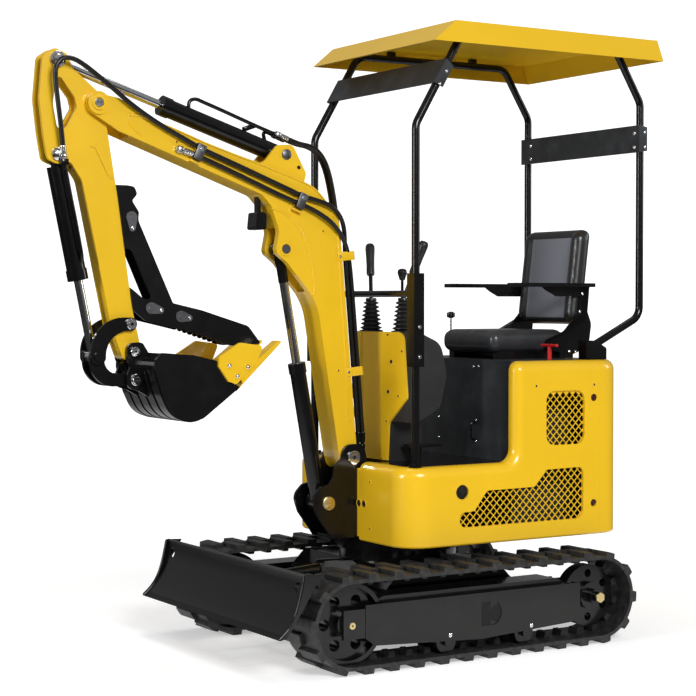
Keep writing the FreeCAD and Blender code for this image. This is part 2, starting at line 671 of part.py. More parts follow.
def boom_bracket():
    """The two bracket plates that carry the boom foot and the lift ram."""
    low = FLOOR_Z
    outline = [
        (60, low), (306, low, 6), (319, 388, 10), (366, 450, 40), (386, 508, 40), (350, 545, 24),
        (313, 553, 6), (303, 576, 6), (298, 612, 16), (266, 636, 8), (262, 684, 38), (178, 684, 38),
        (166, 622, 20), (60, 600),
    ]
    plate = plate_y(outline, BRACKET_IN, BRACKET_IN + BRACKET_T)
    parts = both_sides(plate)
    back = block((60, 76), (-BRACKET_IN, BRACKET_IN), (low, FOOT[1] - 60))
    sole = block((60, 300), (-BRACKET_IN, BRACKET_IN), (low, low + 12))
    parts += [back, sole]
    parts.append(disc_y(FOOT, 17.9, -BRACKET_IN - BRACKET_T - 6, BRACKET_IN + BRACKET_T + 6))
    for side in (1, -1):
        y = sorted((side * (30 + RUN), side * (BRACKET_IN + BRACKET_T + 4)))
        parts.append(disc_y(LIFT_FOOT, 17.0, y[0], y[1]))
    return fuse(parts)


def floor_plate():
    """The flat deck between the covers' rims."""
    edge = RIM_W + SEAT
    plate = plate_z(
        [(HOUSE_FRONT - edge, HOUSE_HALF - edge, FRONT_R - edge), (HOOD_FRONT - 20, HOUSE_HALF - edge),
         (HOOD_FRONT - 20, -HOUSE_HALF + edge), (HOUSE_FRONT - edge, -HOUSE_HALF + edge, FRONT_R - edge)],
        DECK_Z - COVER_T, DECK_Z - 2,
    )
    notch = block((30, HOUSE_FRONT + 10), (-NOSE_HALF, NOSE_HALF), (DECK_Z - 40, DECK_Z + 10))
    return plate.cut(notch)


def seat_box():
    """The dark panel under the seat and the top plate over the engine bay."""
    half = HOUSE_HALF - RIM_W - SEAT
    panel = block((HOOD_FRONT - 20, HOOD_FRONT - 12), (-half, half), (DECK_Z - 2, HOOD_Z - 8))
    top = block((COVER_SEAM, HOOD_FRONT - 12), (-half, half), (HOOD_Z - 8, HOOD_Z))
    return fuse([panel, top])


def engine_block():
    """Engine, pump and tank as one plain block at their place."""
    return block((-640.0, -330.0), (-220.0, 220.0), (FLOOR_Z, 800.0))


def console():
    """The black lever console in front of the operator."""
    pod = plate_y(
        [(92, 1060, 20), (20, 1060, 30), (-62, 1024, 60), (-88, 920, 80), (-60, 805, 40),
         (30, 758), (100, 758)],
        -SHIELD_HALF, SHIELD_HALF,
    )
    pedestal = block((-40, 96), (-92, 92), (DECK_Z - 2, 770))
    ahead = shield_fold(-SEAT, 100.0)
    return fuse([pod, pedestal]).cut(plate_z(ahead, DECK_Z - 10, 1100))


SHIELD_X = 96.0
SHIELD_T = 8.0
SHIELD_FOLD_Y = 58.0
SHIELD_SWEEP = 26.0
SHIELD_HALF = 176.0


def shield_fold(gap, depth):
    """The folded shield seen from above: a front facet and two wings swept back."""
    x, fold = SHIELD_X + gap, SHIELD_FOLD_Y
    back = SHIELD_SWEEP
    outer, inner = x + depth, x
    return [(outer, -fold), (outer, fold), (outer - back, SHIELD_HALF), (inner - back, SHIELD_HALF),
            (inner, fold), (inner, -fold), (inner - back, -SHIELD_HALF), (outer - back, -SHIELD_HALF)]


def console_cover():
    """The yellow shield on the console's front, folded back at its sides."""
    outline = [
        (18 - SHIELD_HALF, 1064, 30), (SHIELD_HALF - 18, 1064, 30), (SHIELD_HALF, 840, 20),
        (92, 752, 20), (84, DECK_Z + 2), (-84, DECK_Z + 2), (-92, 752, 20), (-SHIELD_HALF, 840, 20),
    ]
    front = plate_x(outline, SHIELD_X - SHIELD_SWEEP - 20, SHIELD_X + 20)
    return front.common(plate_z(shield_fold(0.0, SHIELD_T), DECK_Z, 1070))


def controls():
    """Two joysticks on bellows and a centre lever."""
    parts = []
    for side in (1, -1):
        y0 = side * 103.0
        bellows = Part.makeCone(42, 24, 120, V(43, y0, 1060 + SEAT))
        foot = V(43, y0, 1170)
        top = V(3, side * 174.0, 1370)
        stick = Part.makeCylinder(7, (top - foot).Length - 20, foot, top - foot)
        grip_from = foot + (top - foot) * 0.45
        grip = Part.makeCylinder(17, (top - grip_from).Length, grip_from, top - foot)
        parts.append(fuse([bellows, stick, grip]))
    knob_rod = Part.makeCylinder(5, 220, V(-20, 0, 1040))
    knob = Part.makeSphere(17, V(-20, 0, 1265))
    parts.append(fuse([knob_rod, knob]).cut(console()))
    return parts


def grab_bar():
    """The cross bar in front of the levers, clamped to the canopy's front posts."""
    bar = Part.makeCylinder(11, 2 * (POST_Y - TUBE_R - 3), V(POST_FRONT_X, -POST_Y + TUBE_R + 3, GRAB_Z),
                            V(0, 1, 0))
    low, high = GRAB_Z - 240, GRAB_Z + 67
    clamp = block((POST_FRONT_X - 20, POST_FRONT_X + 20), (POST_Y - TUBE_R - 8, POST_Y + TUBE_R + 8),
                  (low, high))
    bore = Part.makeCylinder(TUBE_R + SEAT, high - low + 20, V(POST_FRONT_X, POST_Y, low - 10))
    clamp = clamp.cut(bore)
    return fuse([bar] + both_sides(clamp))


def pedals():
    """Two foot pedals on the deck beside the console's foot."""
    parts = []
    for y in (150.0, -150.0):
        foot = block((10, 40), (y - 12, y + 12), (DECK_Z - 2, DECK_Z + 50))
        tread = block((-60, 50), (y - 36, y + 36), (DECK_Z + 50, DECK_Z + 58))
        parts.append(fuse([foot, tread]))
    return parts


SEAT_HALF = 165.0
SEAT_FRONT = -305.0
CUSHION_Z = (992.0, 1056.0)


def seat_frame():
    """Seat rails, side hinge plates and armrests."""
    inner = SEAT_HALF + 3
    base = HOOD_Z + SEAT
    rail = block((SEAT_FRONT - 300, SEAT_FRONT - 20), (120, 150), (base, CUSHION_Z[0] - SEAT))
    cheek = plate_y(
        [(-520, CUSHION_Z[0] + 4, 8), (-640, CUSHION_Z[0] - 14, 30), (-712, CUSHION_Z[0] + 14, 50),
         (-724, CUSHION_Z[0] + 96, 50), (-706, 1130, 16), (-716, 1232, 8), (-676, 1232, 8), (-666, 1130, 16),
         (-600, CUSHION_Z[0] + 70, 24), (-520, CUSHION_Z[0] + 40, 10)],
        inner, inner + 6,
    )
    foot = block((-640, -580), (120, inner + 6), (base, base + 12))
    web = block((-640, -580), (inner, inner + 6), (base, CUSHION_Z[0] + 30))
    rest = block((-706, -350), (inner, inner + 50), (1219, 1233))
    gusset = plate_y([(-520, 1206, 6), (-560, 1186, 8), (-700, 1186, 8), (-700, 1220), (-500, 1220)],
                     inner, inner + 6)
    return both_sides(fuse([rail, cheek, foot, web, rest, gusset]))


def seat_cushion():
    front = plate_y(
        [(SEAT_FRONT, CUSHION_Z[0], 18), (SEAT_FRONT, CUSHION_Z[1], 30), (-600, CUSHION_Z[1], 10),
         (-640, CUSHION_Z[0], 10)],
        -SEAT_HALF, SEAT_HALF,
    )
    return front


def seat_back():
    """The upright padded back, leaning slightly to the rear."""
    half = SEAT_HALF + 3 - SEAT
    return plate_y(
        [(-630, 1092, 26), (-674, 1434, 24), (-742, 1428, 24), (-704, 1092, 20)],
        -half, half,
    )


def dozer_lever():
    """The red pull handle and the star-knob lever beside the seat."""
    red = (-473.0, 250.0)
    red_rod = Part.makeCylinder(8, 45, V(red[0], red[1], HOOD_Z))
    red_bar = Part.makeCylinder(6, 90, V(red[0], red[1] - 45, HOOD_Z + 43), V(0, 1, 0))
    star_rod = Part.makeCylinder(4, 150, V(-388, -230, HOOD_Z))
    star = Part.makeCylinder(15, 24, V(-388, -230, HOOD_Z + 145))
    return [fuse([red_rod, red_bar]), fuse([star_rod, star])]


# ================================================================ canopy
def canopy_points(side):
    """The bends of one canopy hoop, from the deck round to the hood."""
    y = side * POST_Y
    under = ROOF_RIDGE_Z - ROOF_T - CLIP_H - TUBE_R
    return [
        (POST_FRONT_X, y, DECK_Z + SEAT), (POST_FRONT_X, y, LEAN_FRONT[0]), (LEAN_FRONT[1], y, under),
        (LEAN_REAR[1], y, under), (POST_REAR_X, y, LEAN_REAR[0]), (POST_REAR_X, y, HOOD_Z + 150),
        (-600, y, HOOD_Z + 44),
    ]


def canopy_frame():
    """Two bent side hoops, from the deck's rim over the roof and down to the hood."""
    hoop = bent_tube(canopy_points(1), TUBE_BEND, TUBE_R)
    shoe = plate_y(
        [(-650, HOOD_Z + SEAT), (-560, HOOD_Z + SEAT), (-560, HOOD_Z + 66), (-600, HOOD_Z + 66, 8),
         (-650, HOOD_Z + 40, 8)],
        POST_Y - 22, POST_Y + 22,
    )
    parts = [hoop, shoe]
    for x in CLIP_X:
        parts.append(block((x - 14, x + 14), (POST_Y - 9, POST_Y + 9),
                           (ROOF_RIDGE_Z - ROOF_T - CLIP_H - 6, ROOF_RIDGE_Z - ROOF_T - SEAT)))
    foot = Part.makeCylinder(24, 8, V(POST_FRONT_X, POST_Y, DECK_Z + SEAT))
    parts.append(foot)
    return both_sides(fuse(parts))


def brace(low, high, across, thick):
    """A channel bolted across both hoops: a plate between two points with its ends turned back."""
    run = (high[0] - low[0], high[1] - low[1])
    length = math.hypot(*run)
    unit = (run[0] / length, run[1] / length)
    out = (unit[1] * across, -unit[0] * across)

    def at(point, along_run, off):
        return (point[0] + unit[0] * along_run + out[0] * off, point[1] + unit[1] * along_run + out[1] * off)

    gap = TUBE_R + SEAT
    web = [at(low, 0, gap), at(high, 0, gap), at(high, 0, gap + thick), at(low, 0, gap + thick)]
    wing = [
        at(low, 6, -gap - 4), at(high, -6, -gap - 4), at(high, 0, gap + thick), at(low, 0, gap + thick),
    ]
    half = POST_Y + gap + thick
    plate = plate_y(web, -half, half)
    return fuse([plate] + both_sides(plate_y(wing, POST_Y + gap, half)))


def canopy_braces():
    """Cross channels in front of the hoops' leaning fronts and between the rear posts."""
    points = canopy_points(1)
    lean_low, lean_high = (points[1][0], points[1][2]), (points[2][0], points[2][2])
    front = brace(along(lean_low, lean_high, 150), along(lean_low, lean_high, 245), 1, 5.0)
    rear = brace((POST_REAR_X, BRACE_REAR_Z[0]), (POST_REAR_X, BRACE_REAR_Z[1]), 1, 5.0)
    return [front, rear]


def canopy_roof():
    """A folded sheet roof: flat top, sloping front and rear, upright side skirts."""
    def profile(shrink):
        return [
            (ROOF_X[0] + shrink, ROOF_SKIRT_Z - (10 if shrink else 0)),
            (ROOF_RIDGE_X[0] + shrink * 0.5, ROOF_RIDGE_Z - shrink),
            (ROOF_RIDGE_X[1] - shrink * 0.5, ROOF_RIDGE_Z - shrink),
            (ROOF_X[1] - shrink, ROOF_SKIRT_Z - (10 if shrink else 0)),
        ]
    outer = plate_y(profile(0.0), -ROOF_HALF, ROOF_HALF)
    inner = plate_y(profile(ROOF_T), -ROOF_HALF + ROOF_T, ROOF_HALF - ROOF_T)
    return outer.cut(inner)


# ================================================================ boom, arm and bucket
def boom():
    """The boom: a bent box with a forked nose, a forked lug for the lift ram and arm ram ears."""
    outline = [
        (NOSE[0] + 30, NOSE[1] - 26, 30), (NOSE[0] + 26, NOSE[1] + 34, 30), (1075, 1803, 20),
        (923, 1728, 200), (384, 1555, 60), (272, 1465, 90), (252, 1270, 400), (200, 672, 60),
        (176, 640, 34), (200, 592, 34), (256, 600, 34), (272, 662, 40), (354, 1163, 200),
        (470, 1296, 20), (514, 1330, 24), (500, 1400, 40), (530, 1482, 30), (564, 1518, 40),
        (1075, 1700, 60),
    ]
    shape = plate_y(outline, -BOOM_HALF, BOOM_HALF)
    fork = BOOM_HALF - BOOM_SKIN
    nose_gap = [(1030, 1600), (1030, 1900), (1300, 1900), (1300, 1600)]
    shape = shape.cut(plate_y(nose_gap, -fork, fork))
    ram_gap = [
        (380, 1200), (402, 1290, 20), (420, 1392, 40), (478, 1410, 40), (560, 1420), (560, 1200),
    ]
    gap_half = 27.0
    shape = shape.cut(plate_y(ram_gap, -gap_half, gap_half))
    parts = [shape]
    for side in (1, -1):
        y = sorted((side * (ARM_HALF + 6 + RUN), side * (BOOM_HALF + 6)))
        parts.append(disc_y(NOSE, 36.0, y[0], y[1]))
    ears = [
        (ARM_RAM_FOOT[0] + 150, ARM_RAM_FOOT[1] - 60), (ARM_RAM_FOOT[0] + 80, ARM_RAM_FOOT[1] - 22, 20),
        (ARM_RAM_FOOT[0] + 34, ARM_RAM_FOOT[1] + 30, 20), (ARM_RAM_FOOT[0] - 24, ARM_RAM_FOOT[1] + 34, 26),
        (ARM_RAM_FOOT[0] - 76, ARM_RAM_FOOT[1] - 60, 20), (ARM_RAM_FOOT[0] - 60, ARM_RAM_FOOT[1] - 120),
    ]
    for low in (32 + RUN, -44 - RUN):
        parts.append(plate_y(ears, low, low + 12))
    shape = fuse(parts)
    shape = shape.cut(disc_y(FOOT, 18.0, -BOOM_HALF - 1, BOOM_HALF + 1))
    shape = shape.cut(disc_y(NOSE, 15.0, -BOOM_HALF - 7, BOOM_HALF + 7))
    return shape


def boom_pins():
    """Stub pins: the arm ram's foot pin heads and the lift ram's eye pin heads."""
    parts = []
    for side in (1, -1):
        y = sorted((side * (44 + RUN), side * (44 + RUN + 4)))
        parts.append(disc_y(ARM_RAM_FOOT, 14.0, y[0], y[1]))
        y = sorted((side * BOOM_HALF, side * (BOOM_HALF + 4)))
        parts.append(disc_y(LIFT_EYE, 14.0, y[0], y[1]))
    return parts


def arm_outline():
    """The arm seen from its side: rear head, rear edge, bucket eye, front edge, front head."""
    return [
        (1318, 1920, 20), (1280, 1948, 24), (1236, 1930, 24), (1222, 1890, 10), (1148, 1830, 30),
        (1102, 1790, 30), (1108, 1718, 60), (1070, 1486, 300), (1023, 1148, 300),
        (988, 1000, 26), (1022, 974, 30), (1056, 990, 26), (1095, 1090, 60), (1134, 1278, 300),
        (1190, 1544, 60), (1231, 1602, 20), (1270, 1590, 24), (1304, 1604, 20),
        (1318, 1685, 60), (1330, 1790, 120),
    ]


def arm():
    """The arm: a tapered box whose head is a bow that carries two rams."""
    window = [
        (1262, 1862, 8), (1214, 1800, 18), (1206, 1770, 18), (1246, 1700, 18), (1272, 1700, 14),
        (1286, 1775, 90), (1276, 1850, 20),
    ]
    shape = plate_y(arm_outline(), -ARM_HALF, ARM_HALF)
    shape = shape.cut(plate_y(window, -ARM_HALF - 1, ARM_HALF + 1))
    eye_gap = 17 + RUN
    bow_gap = [
        (1160, 1816, 10), (1192, 1800, 20), (1206, 1700, 40), (1212, 1560), (1420, 1500), (1420, 2040),
        (1100, 2040),
    ]
    shape = shape.cut(plate_y(bow_gap, -eye_gap, eye_gap))
    for side in (1, -1):
        y = sorted((side * (ARM_HALF - 1), side * (ARM_HALF + 6)))
        shape = shape.fuse(disc_y(NOSE, 33.0, y[0], y[1]))
    shape = shape.cut(disc_y(NOSE, 15.0, -ARM_HALF - 7, ARM_HALF + 7))
    return shape.cut(disc_y(BUCKET_PIN, 12.0, -ARM_HALF - 1, ARM_HALF + 1))


def thumb():
    """The fixed thumb: two plates on the arm's rear edge, either side of the middle tooth's path."""
    inner = TOOTH_HALF + CLEAR
    outer = inner + THUMB_T
    outline = [
        (1100, 1533), (1040, 1533, 10), (1014, 1530, 18), (1005, 1506, 12), (1023, 1485, 8), (999, 1450, 16),
        (1002, 1424, 40), (881, 1162, 10), (778, 1139, 60), (608, 1087, 30), (560, 1028, 5), (668, 1023, 20),
        (700, 1029, 40), (838, 1074, 60), (920, 1093, 60), (978, 1106, 20), (1045, 1158), (1045, 1220),
        (1019, 1203, 5), (984, 1175, 30), (955, 1175, 5), (1024, 1330, 10), (1075, 1340),
    ]
    beside_arm = plate_y(arm_outline(), inner - 1, outer + 1).translated(V(-SEAT, 0, 0))
    plate = plate_y(outline, inner, outer).cut(beside_arm)
    first, last = THUMB_GULLETS
    for i in range(THUMB_TEETH):
        share = i / (THUMB_TEETH - 1)
        gullet = (first[0] + share * (last[0] - first[0]), first[1] + share * (last[1] - first[1]))
        plate = plate.cut(disc_y(gullet, THUMB_GULLET_R, inner - 1, outer + 1))
    pins = [disc_y(spot, 12.0, -inner - 1, inner + 1) for spot in THUMB_PINS]
    return fuse(both_sides(plate) + pins)


LINK_IN = 36.0        # inner face of the guide links
LINK_T = 9.0
CLEVIS_HALF = 34.0    # bucket link over the ram's eye


def guide_links():
    """Two curved links outside the arm that guide the bucket ram's eye."""
    top, right = GUIDE_PIN[1] + 21, LINK_PIN[0] + 25
    outline = [
        (GUIDE_PIN[0] - 21, top, 20), (right, top, 110), (right, LINK_PIN[1] - 25, 24),
        (LINK_PIN[0] - 25, LINK_PIN[1] - 25, 24), (LINK_PIN[0] - 25, GUIDE_PIN[1] - 21, 78),
        (GUIDE_PIN[0] - 21, GUIDE_PIN[1] - 21, 20),
    ]
    parts = []
    for side in (1, -1):
        y = sorted((side * LINK_IN, side * (LINK_IN + LINK_T)))
        plate = plate_y(outline, y[0], y[1])
        y = sorted((side * (ARM_HALF + RUN), side * (LINK_IN + 1)))
        shoulder = disc_y(GUIDE_PIN, 19.0, y[0], y[1])
        y = sorted((side * (LINK_IN + 1), side * (LINK_IN + LINK_T + 5)))
        caps = [disc_y(pin, 15.0, y[0], y[1]) for pin in (GUIDE_PIN, LINK_PIN)]
        parts.append(fuse([plate, shoulder] + caps))
    return parts


def bucket_link():
    """The curved link between the ram's eye and the bucket: a clevis above, a boss below."""
    right, foot = LINK_PIN[0] + 24, TIE_PIN[1] - 20
    outline = [
        (LINK_PIN[0] - 24, LINK_PIN[1] + 24, 23), (right, LINK_PIN[1] + 24, 23), (right, foot, 80),
        (TIE_PIN[0] - 20, foot, 19), (TIE_PIN[0] - 20, TIE_PIN[1] + 20, 19),
        (LINK_PIN[0] - 24, TIE_PIN[1] + 20, 44),
    ]
    parts = []
    for low in (20 + RUN, -CLEVIS_HALF):
        parts.append(plate_y(outline, low, low + CLEVIS_HALF - 20 - RUN))
    bridge = [
        (TIE_PIN[0] - 20, foot, 19), (TIE_PIN[0] + 52, foot, 8), (TIE_PIN[0] + 52, TIE_PIN[1] + 20, 8),
        (TIE_PIN[0] - 20, TIE_PIN[1] + 20, 19),
    ]
    parts.append(plate_y(bridge, -CLEVIS_HALF, CLEVIS_HALF))
    return fuse(parts)


EAR_IN = 37.0         # bucket ears outside the arm's tip and the bucket link
STRIP_COUNT = 5       # wear strips round the bucket's back
STRIP_W = 44.0
STRIP_T = 4.0


def bucket():
    """The bucket: rolled shell, side plates, ears and floor."""
    side = [
        (998, 985), (976, 1007, 8), (865, 998), (783, 979), (741, 915), (700, 893),
        (832, 796, 40), (877, 788, 60), (943, 810, 80), (974, 875, 60), (999, 955, 20),
    ]
    hollow = [
        (1100, 1200), (700, 1200), (690, 905), (700, 901), (832, 804, 34), (877, 796, 54),
        (940, 818, 72), (966, 877, 52), (991, 960, 16), (985, 980), (970, 999, 6),
    ]
    solid = plate_y(side, -BUCKET_HALF, BUCKET_HALF)
    solid = solid.cut(plate_y(hollow, -BUCKET_HALF + 8, BUCKET_HALF - 8))
    solid = solid.cut(disc_y(BUCKET_PIN, 48.0, -BUCKET_HALF + 8, BUCKET_HALF - 8))
    ear = [
        (960, 1002), (996, 1038, 24), (1048, 1038, 26), (1048, 985, 24), (1036, 962, 20),
        (1050, 930, 20), (1046, 896, 22), (1008, 884, 20), (968, 862), (940, 930),
    ]
    cavity = plate_y(hollow, -EAR_IN - 30, EAR_IN + 30)
    parts = [solid]
    for low in (EAR_IN, -EAR_IN - 12):
        parts.append(plate_y(ear, low, low + 12).cut(cavity))
    back = [
        (1030, 1010), (994, 1010), (972, 1002), (700, 1002), (706, 890), (840, 792), (880, 780),
        (960, 800), (1010, 860),
    ]
    core = Part.Face(rounded_wire(side, lambda a, b: V(a, 0, b)))
    grown = core.makeOffset2D(STRIP_T)
    for i in range(STRIP_COUNT):
        y = -BUCKET_HALF + (i + 0.5) * 2 * BUCKET_HALF / STRIP_COUNT
        strip = grown.extrude(V(0, STRIP_W, 0))
        strip.translate(V(0, y - STRIP_W / 2, 0))
        strip = strip.common(plate_y(back, -BUCKET_HALF, BUCKET_HALF))
        strip = strip.cut(disc_y(BUCKET_PIN, 66.0, -BUCKET_HALF, BUCKET_HALF))
        parts.append(strip.cut(plate_y(hollow, -BUCKET_HALF - 1, BUCKET_HALF + 1)))
    shape = fuse(parts)
    pins = []
    for side_sign in (1, -1):
        y = sorted((side_sign * EAR_IN, side_sign * (EAR_IN + 18)))
        pins.append(disc_y(BUCKET_PIN, 18.0, y[0], y[1]))
        pins.append(disc_y(TIE_PIN, 16.0, y[0], y[1]))
    pins.append(disc_y(BUCKET_PIN, 11.9, -EAR_IN - 1, EAR_IN + 1))
    return fuse([shape] + pins)


def bucket_cutters():
    """Three teeth on the lip and a side cutter on each side plate."""
    profile = [(690, 905), (712, 880), (560, 1022), (545, 1038, 3), (556, 1040), (700, 932)]
    shell = bucket()
    parts = []
    for y in (125.0, 0.0, -125.0):
        parts.append(plate_y(profile, y - TOOTH_HALF, y + TOOTH_HALF).cut(shell))
    cutter = [
        (780, 992, 10), (706, 1036, 14), (622, 1025, 10), (645, 969, 10), (718, 904), (746, 912),
        (781, 961),
    ]
    for low in (BUCKET_HALF + SEAT, -BUCKET_HALF - SEAT - 10):
        parts.append(plate_y(cutter, low, low + 10))
    return parts


def boom_hoses():
    """Two hoses clipped down the boom's back."""
    parts = []
    for y in (-14.0, 14.0):
        points = [
            (424, y, 1577.7), (379.7, y, 1563.6), (262.4, y, 1469.4), (242.6, y, 1271), (194.3, y, 715),
        ]
        parts.append(bent_tube(points, 45.0, 9.0))
    return parts


def work_lamp():
    """The work lamp inside the boom's bend, on its bracket."""
    body = plate_y([(536, 1404, 12), (536, 1462, 12), (572, 1462, 8), (578, 1404, 8)], -30, 30)
    stem = block((548, 560), (-12, 12), (1455, 1530)).cut(boom())
    return fuse([body, stem.Solids[0]])


# ================================================================ write the files
def build():
    os.makedirs("parts", exist_ok=True)
    for name, shape in (
        ("track", track()), ("track_frame", track_frame()), ("idler", idler()),
        ("sprocket", sprocket()),
    ):
        save(name + "_left", shape)
        save(name + "_right", mirrored(shape))
    save("centre_frame", centre_frame())
    save("blade", blade())
    for name, maker in (
        ("blade_ram", blade_ram), ("lift_ram", lift_ram), ("arm_ram", arm_ram),
        ("bucket_ram", bucket_ram),
    ):
        barrel, rod = maker()
        save(name + "_barrel", barrel)
        save(name + "_rod", rod)
    save("main_frame", main_frame())
    save("boom_bracket", boom_bracket())
    left, right, rear = covers()
    save("side_cover_left", left)
    save("side_cover_right", right)
    save("rear_cover", rear)
    save("grilles", grilles())
    for name, maker in (
        ("floor_plate", floor_plate), ("seat_box", seat_box), ("engine_block", engine_block),
        ("console", console), ("console_cover", console_cover), ("controls", controls),
        ("grab_bar", grab_bar), ("pedals", pedals), ("seat_frame", seat_frame),
        ("seat_cushion", seat_cushion), ("seat_back", seat_back), ("levers", dozer_lever),
        ("canopy_frame", canopy_frame), ("canopy_braces", canopy_braces),
        ("canopy_roof", canopy_roof), ("boom", boom), ("boom_pins", boom_pins), ("arm", arm),
        ("thumb", thumb), ("guide_links", guide_links), ("bucket_link", bucket_link),
        ("bucket", bucket), ("bucket_cutters", bucket_cutters), ("boom_hoses", boom_hoses),
        ("work_lamp", work_lamp),
    ):
        save(name, maker())


build()
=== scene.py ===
"""Mini excavator: finishes, padded seat, controls, hoses and small fittings round its frame."""
import json
import math

import bmesh
import bpy
from mathutils import Matrix, Vector


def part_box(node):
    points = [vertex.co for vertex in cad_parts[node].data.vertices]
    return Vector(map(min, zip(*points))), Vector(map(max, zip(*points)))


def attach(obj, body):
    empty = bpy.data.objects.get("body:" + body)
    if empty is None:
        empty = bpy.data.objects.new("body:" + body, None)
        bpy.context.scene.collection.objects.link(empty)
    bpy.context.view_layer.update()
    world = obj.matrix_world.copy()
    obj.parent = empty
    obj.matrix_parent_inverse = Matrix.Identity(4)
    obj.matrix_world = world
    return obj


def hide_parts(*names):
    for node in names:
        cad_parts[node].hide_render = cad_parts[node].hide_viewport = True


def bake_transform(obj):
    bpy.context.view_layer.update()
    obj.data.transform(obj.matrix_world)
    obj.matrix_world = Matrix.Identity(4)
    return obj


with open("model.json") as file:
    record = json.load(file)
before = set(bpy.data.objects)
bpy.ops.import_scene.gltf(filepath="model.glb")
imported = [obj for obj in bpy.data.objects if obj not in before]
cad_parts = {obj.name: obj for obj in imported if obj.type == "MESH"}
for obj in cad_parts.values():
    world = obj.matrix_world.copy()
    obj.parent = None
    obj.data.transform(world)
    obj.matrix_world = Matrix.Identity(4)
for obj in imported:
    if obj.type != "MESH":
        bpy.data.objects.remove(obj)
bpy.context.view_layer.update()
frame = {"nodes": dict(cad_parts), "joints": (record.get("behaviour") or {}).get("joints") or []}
NODES = frame["nodes"]
# Where each joint's pin lies, by the joint's name.
PIN = {joint["name"]: Vector(joint["pos_m"]) for joint in frame["joints"] if joint.get("pos_m")}
# The rods' eyes on the arm and the boom, where no joint lies.
ARM_ROD_EYE = Vector((1.271, 0, 1.912))
LIFT_ROD_EYE = Vector((0.475, 0, 1.341))

SIDES = ((1, "left"), (-1, "right"))
TURN = 2 * math.pi


# ================================================================ shader nodes
# Numbers of the Mix node's colour sockets, which share their names with its float sockets.
MIX_COLOUR_A = 6
MIX_COLOUR_B = 7
MIX_COLOUR_RESULT = 2


class Wire:
    """One output of a node tree; arithmetic on it adds Math nodes."""

    def __init__(self, owner, socket):
        self.owner = owner
        self.socket = socket

    def maths(self, operation, *others):
        values = dict(enumerate((self,) + others))
        return self.owner.node("ShaderNodeMath", {"operation": operation}, values)

    def __add__(self, other):
        return self.maths("ADD", other)

    def __mul__(self, other):
        return self.maths("MULTIPLY", other)

    def __gt__(self, other):
        return self.maths("GREATER_THAN", other)

    def __lt__(self, other):
        return self.maths("LESS_THAN", other)


class Nodes:
    """The node tree of a material or a world, and the one method that adds to it."""

    def __init__(self, owner):
        owner.use_nodes = True
        self.tree = owner.node_tree

    def node(self, kind, settings=None, sockets=None, output=0):
        """Adds a node: its settings first, then the values or links of its sockets."""
        made = self.tree.nodes.new(kind)
        for key, value in (settings or {}).items():
            if key == "stops":
                self.fill_ramp(made.color_ramp, value)
            else:
                setattr(made, key, value)
        for key, value in (sockets or {}).items():
            self.plug(made.inputs[key], value)
        return Wire(self, made.outputs[output])

    def plug(self, socket, value):
        if isinstance(value, Wire):
            self.tree.links.new(value.socket, socket)
        else:
            socket.default_value = value

    def fill_ramp(self, ramp, stops):
        while len(ramp.elements) < len(stops):
            ramp.elements.new(1.0)
        for element, (position, value) in zip(ramp.elements, stops):
            element.position = position
            element.color = (value, value, value, 1)


class Finish(Nodes):
    """A material built on one Principled shader."""

    def __init__(self, name, **shader):
        self.material = bpy.data.materials.new(name)
        super().__init__(self.material)
        self.shader = self.tree.nodes["Principled BSDF"]
        self.place = self.node("ShaderNodeTexCoord", output="Object")
        for socket, value in shader.items():
            self.set(socket.replace("_", " "), value)

    def set(self, socket, value):
        if isinstance(value, tuple) and len(value) == 3:
            value = value + (1,)
        self.plug(self.shader.inputs[socket], value)

    def noise(self, scale, detail=2.0, place=None):
        sockets = {"Vector": place or self.place, "Scale": scale, "Detail": detail}
        return self.node("ShaderNodeTexNoise", {}, sockets)

    def stretched(self, x, y, z):
        """Object coordinates scaled differently along each axis."""
        sockets = {"Vector": self.place, "Scale": (x, y, z)}
        return self.node("ShaderNodeMapping", {}, sockets)

    def ramp(self, value, *stops):
        return self.node("ShaderNodeValToRGB", {"stops": stops}, {"Fac": value})

    def blend(self, mask, dark, light):
        """A colour between two, by a mask. Each end is a plain colour or another blend."""
        first, second = [c + (1,) if isinstance(c, tuple) else c for c in (dark, light)]
        sockets = {"Factor": mask, MIX_COLOUR_A: first, MIX_COLOUR_B: second}
        return self.node("ShaderNodeMix", {"data_type": "RGBA"}, sockets, output=MIX_COLOUR_RESULT)

    def axis(self, name):
        return self.node("ShaderNodeSeparateXYZ", {}, {"Vector": self.place}, output=name)

    def bump(self, height, strength, distance=0.001):
        sockets = {"Height": height, "Strength": strength, "Distance": distance}
        self.set("Normal", self.node("ShaderNodeBump", {}, sockets))


def shade(colour, factor):
    """A colour made darker or lighter."""
    return tuple(c * factor for c in colour)


# ================================================================ finishes
def enamel(name, colour):
    """Glossy powder coat: faint orange peel, broad tone changes, dust towards the ground."""
    coat = Finish(name, IOR=1.5, Coat_Weight=0.35, Coat_Roughness=0.08)
    tone = coat.ramp(coat.noise(3.5, 3), (0.35, 0), (0.7, 1))
    low = coat.ramp(coat.axis("Z") + coat.noise(9) * 0.25, (0.2, 0.30), (0.75, 0))
    paint = coat.blend(tone, shade(colour, 0.95), colour)
    dust = low * coat.noise(30, 4)
    coat.set("Base Color", coat.blend(dust, paint, shade(colour, 0.72)))
    coat.set("Roughness", coat.noise(22, 3) * 0.10 + 0.19)
    coat.bump(coat.noise(260, 1), 0.05, 0.0006)
    return coat.material


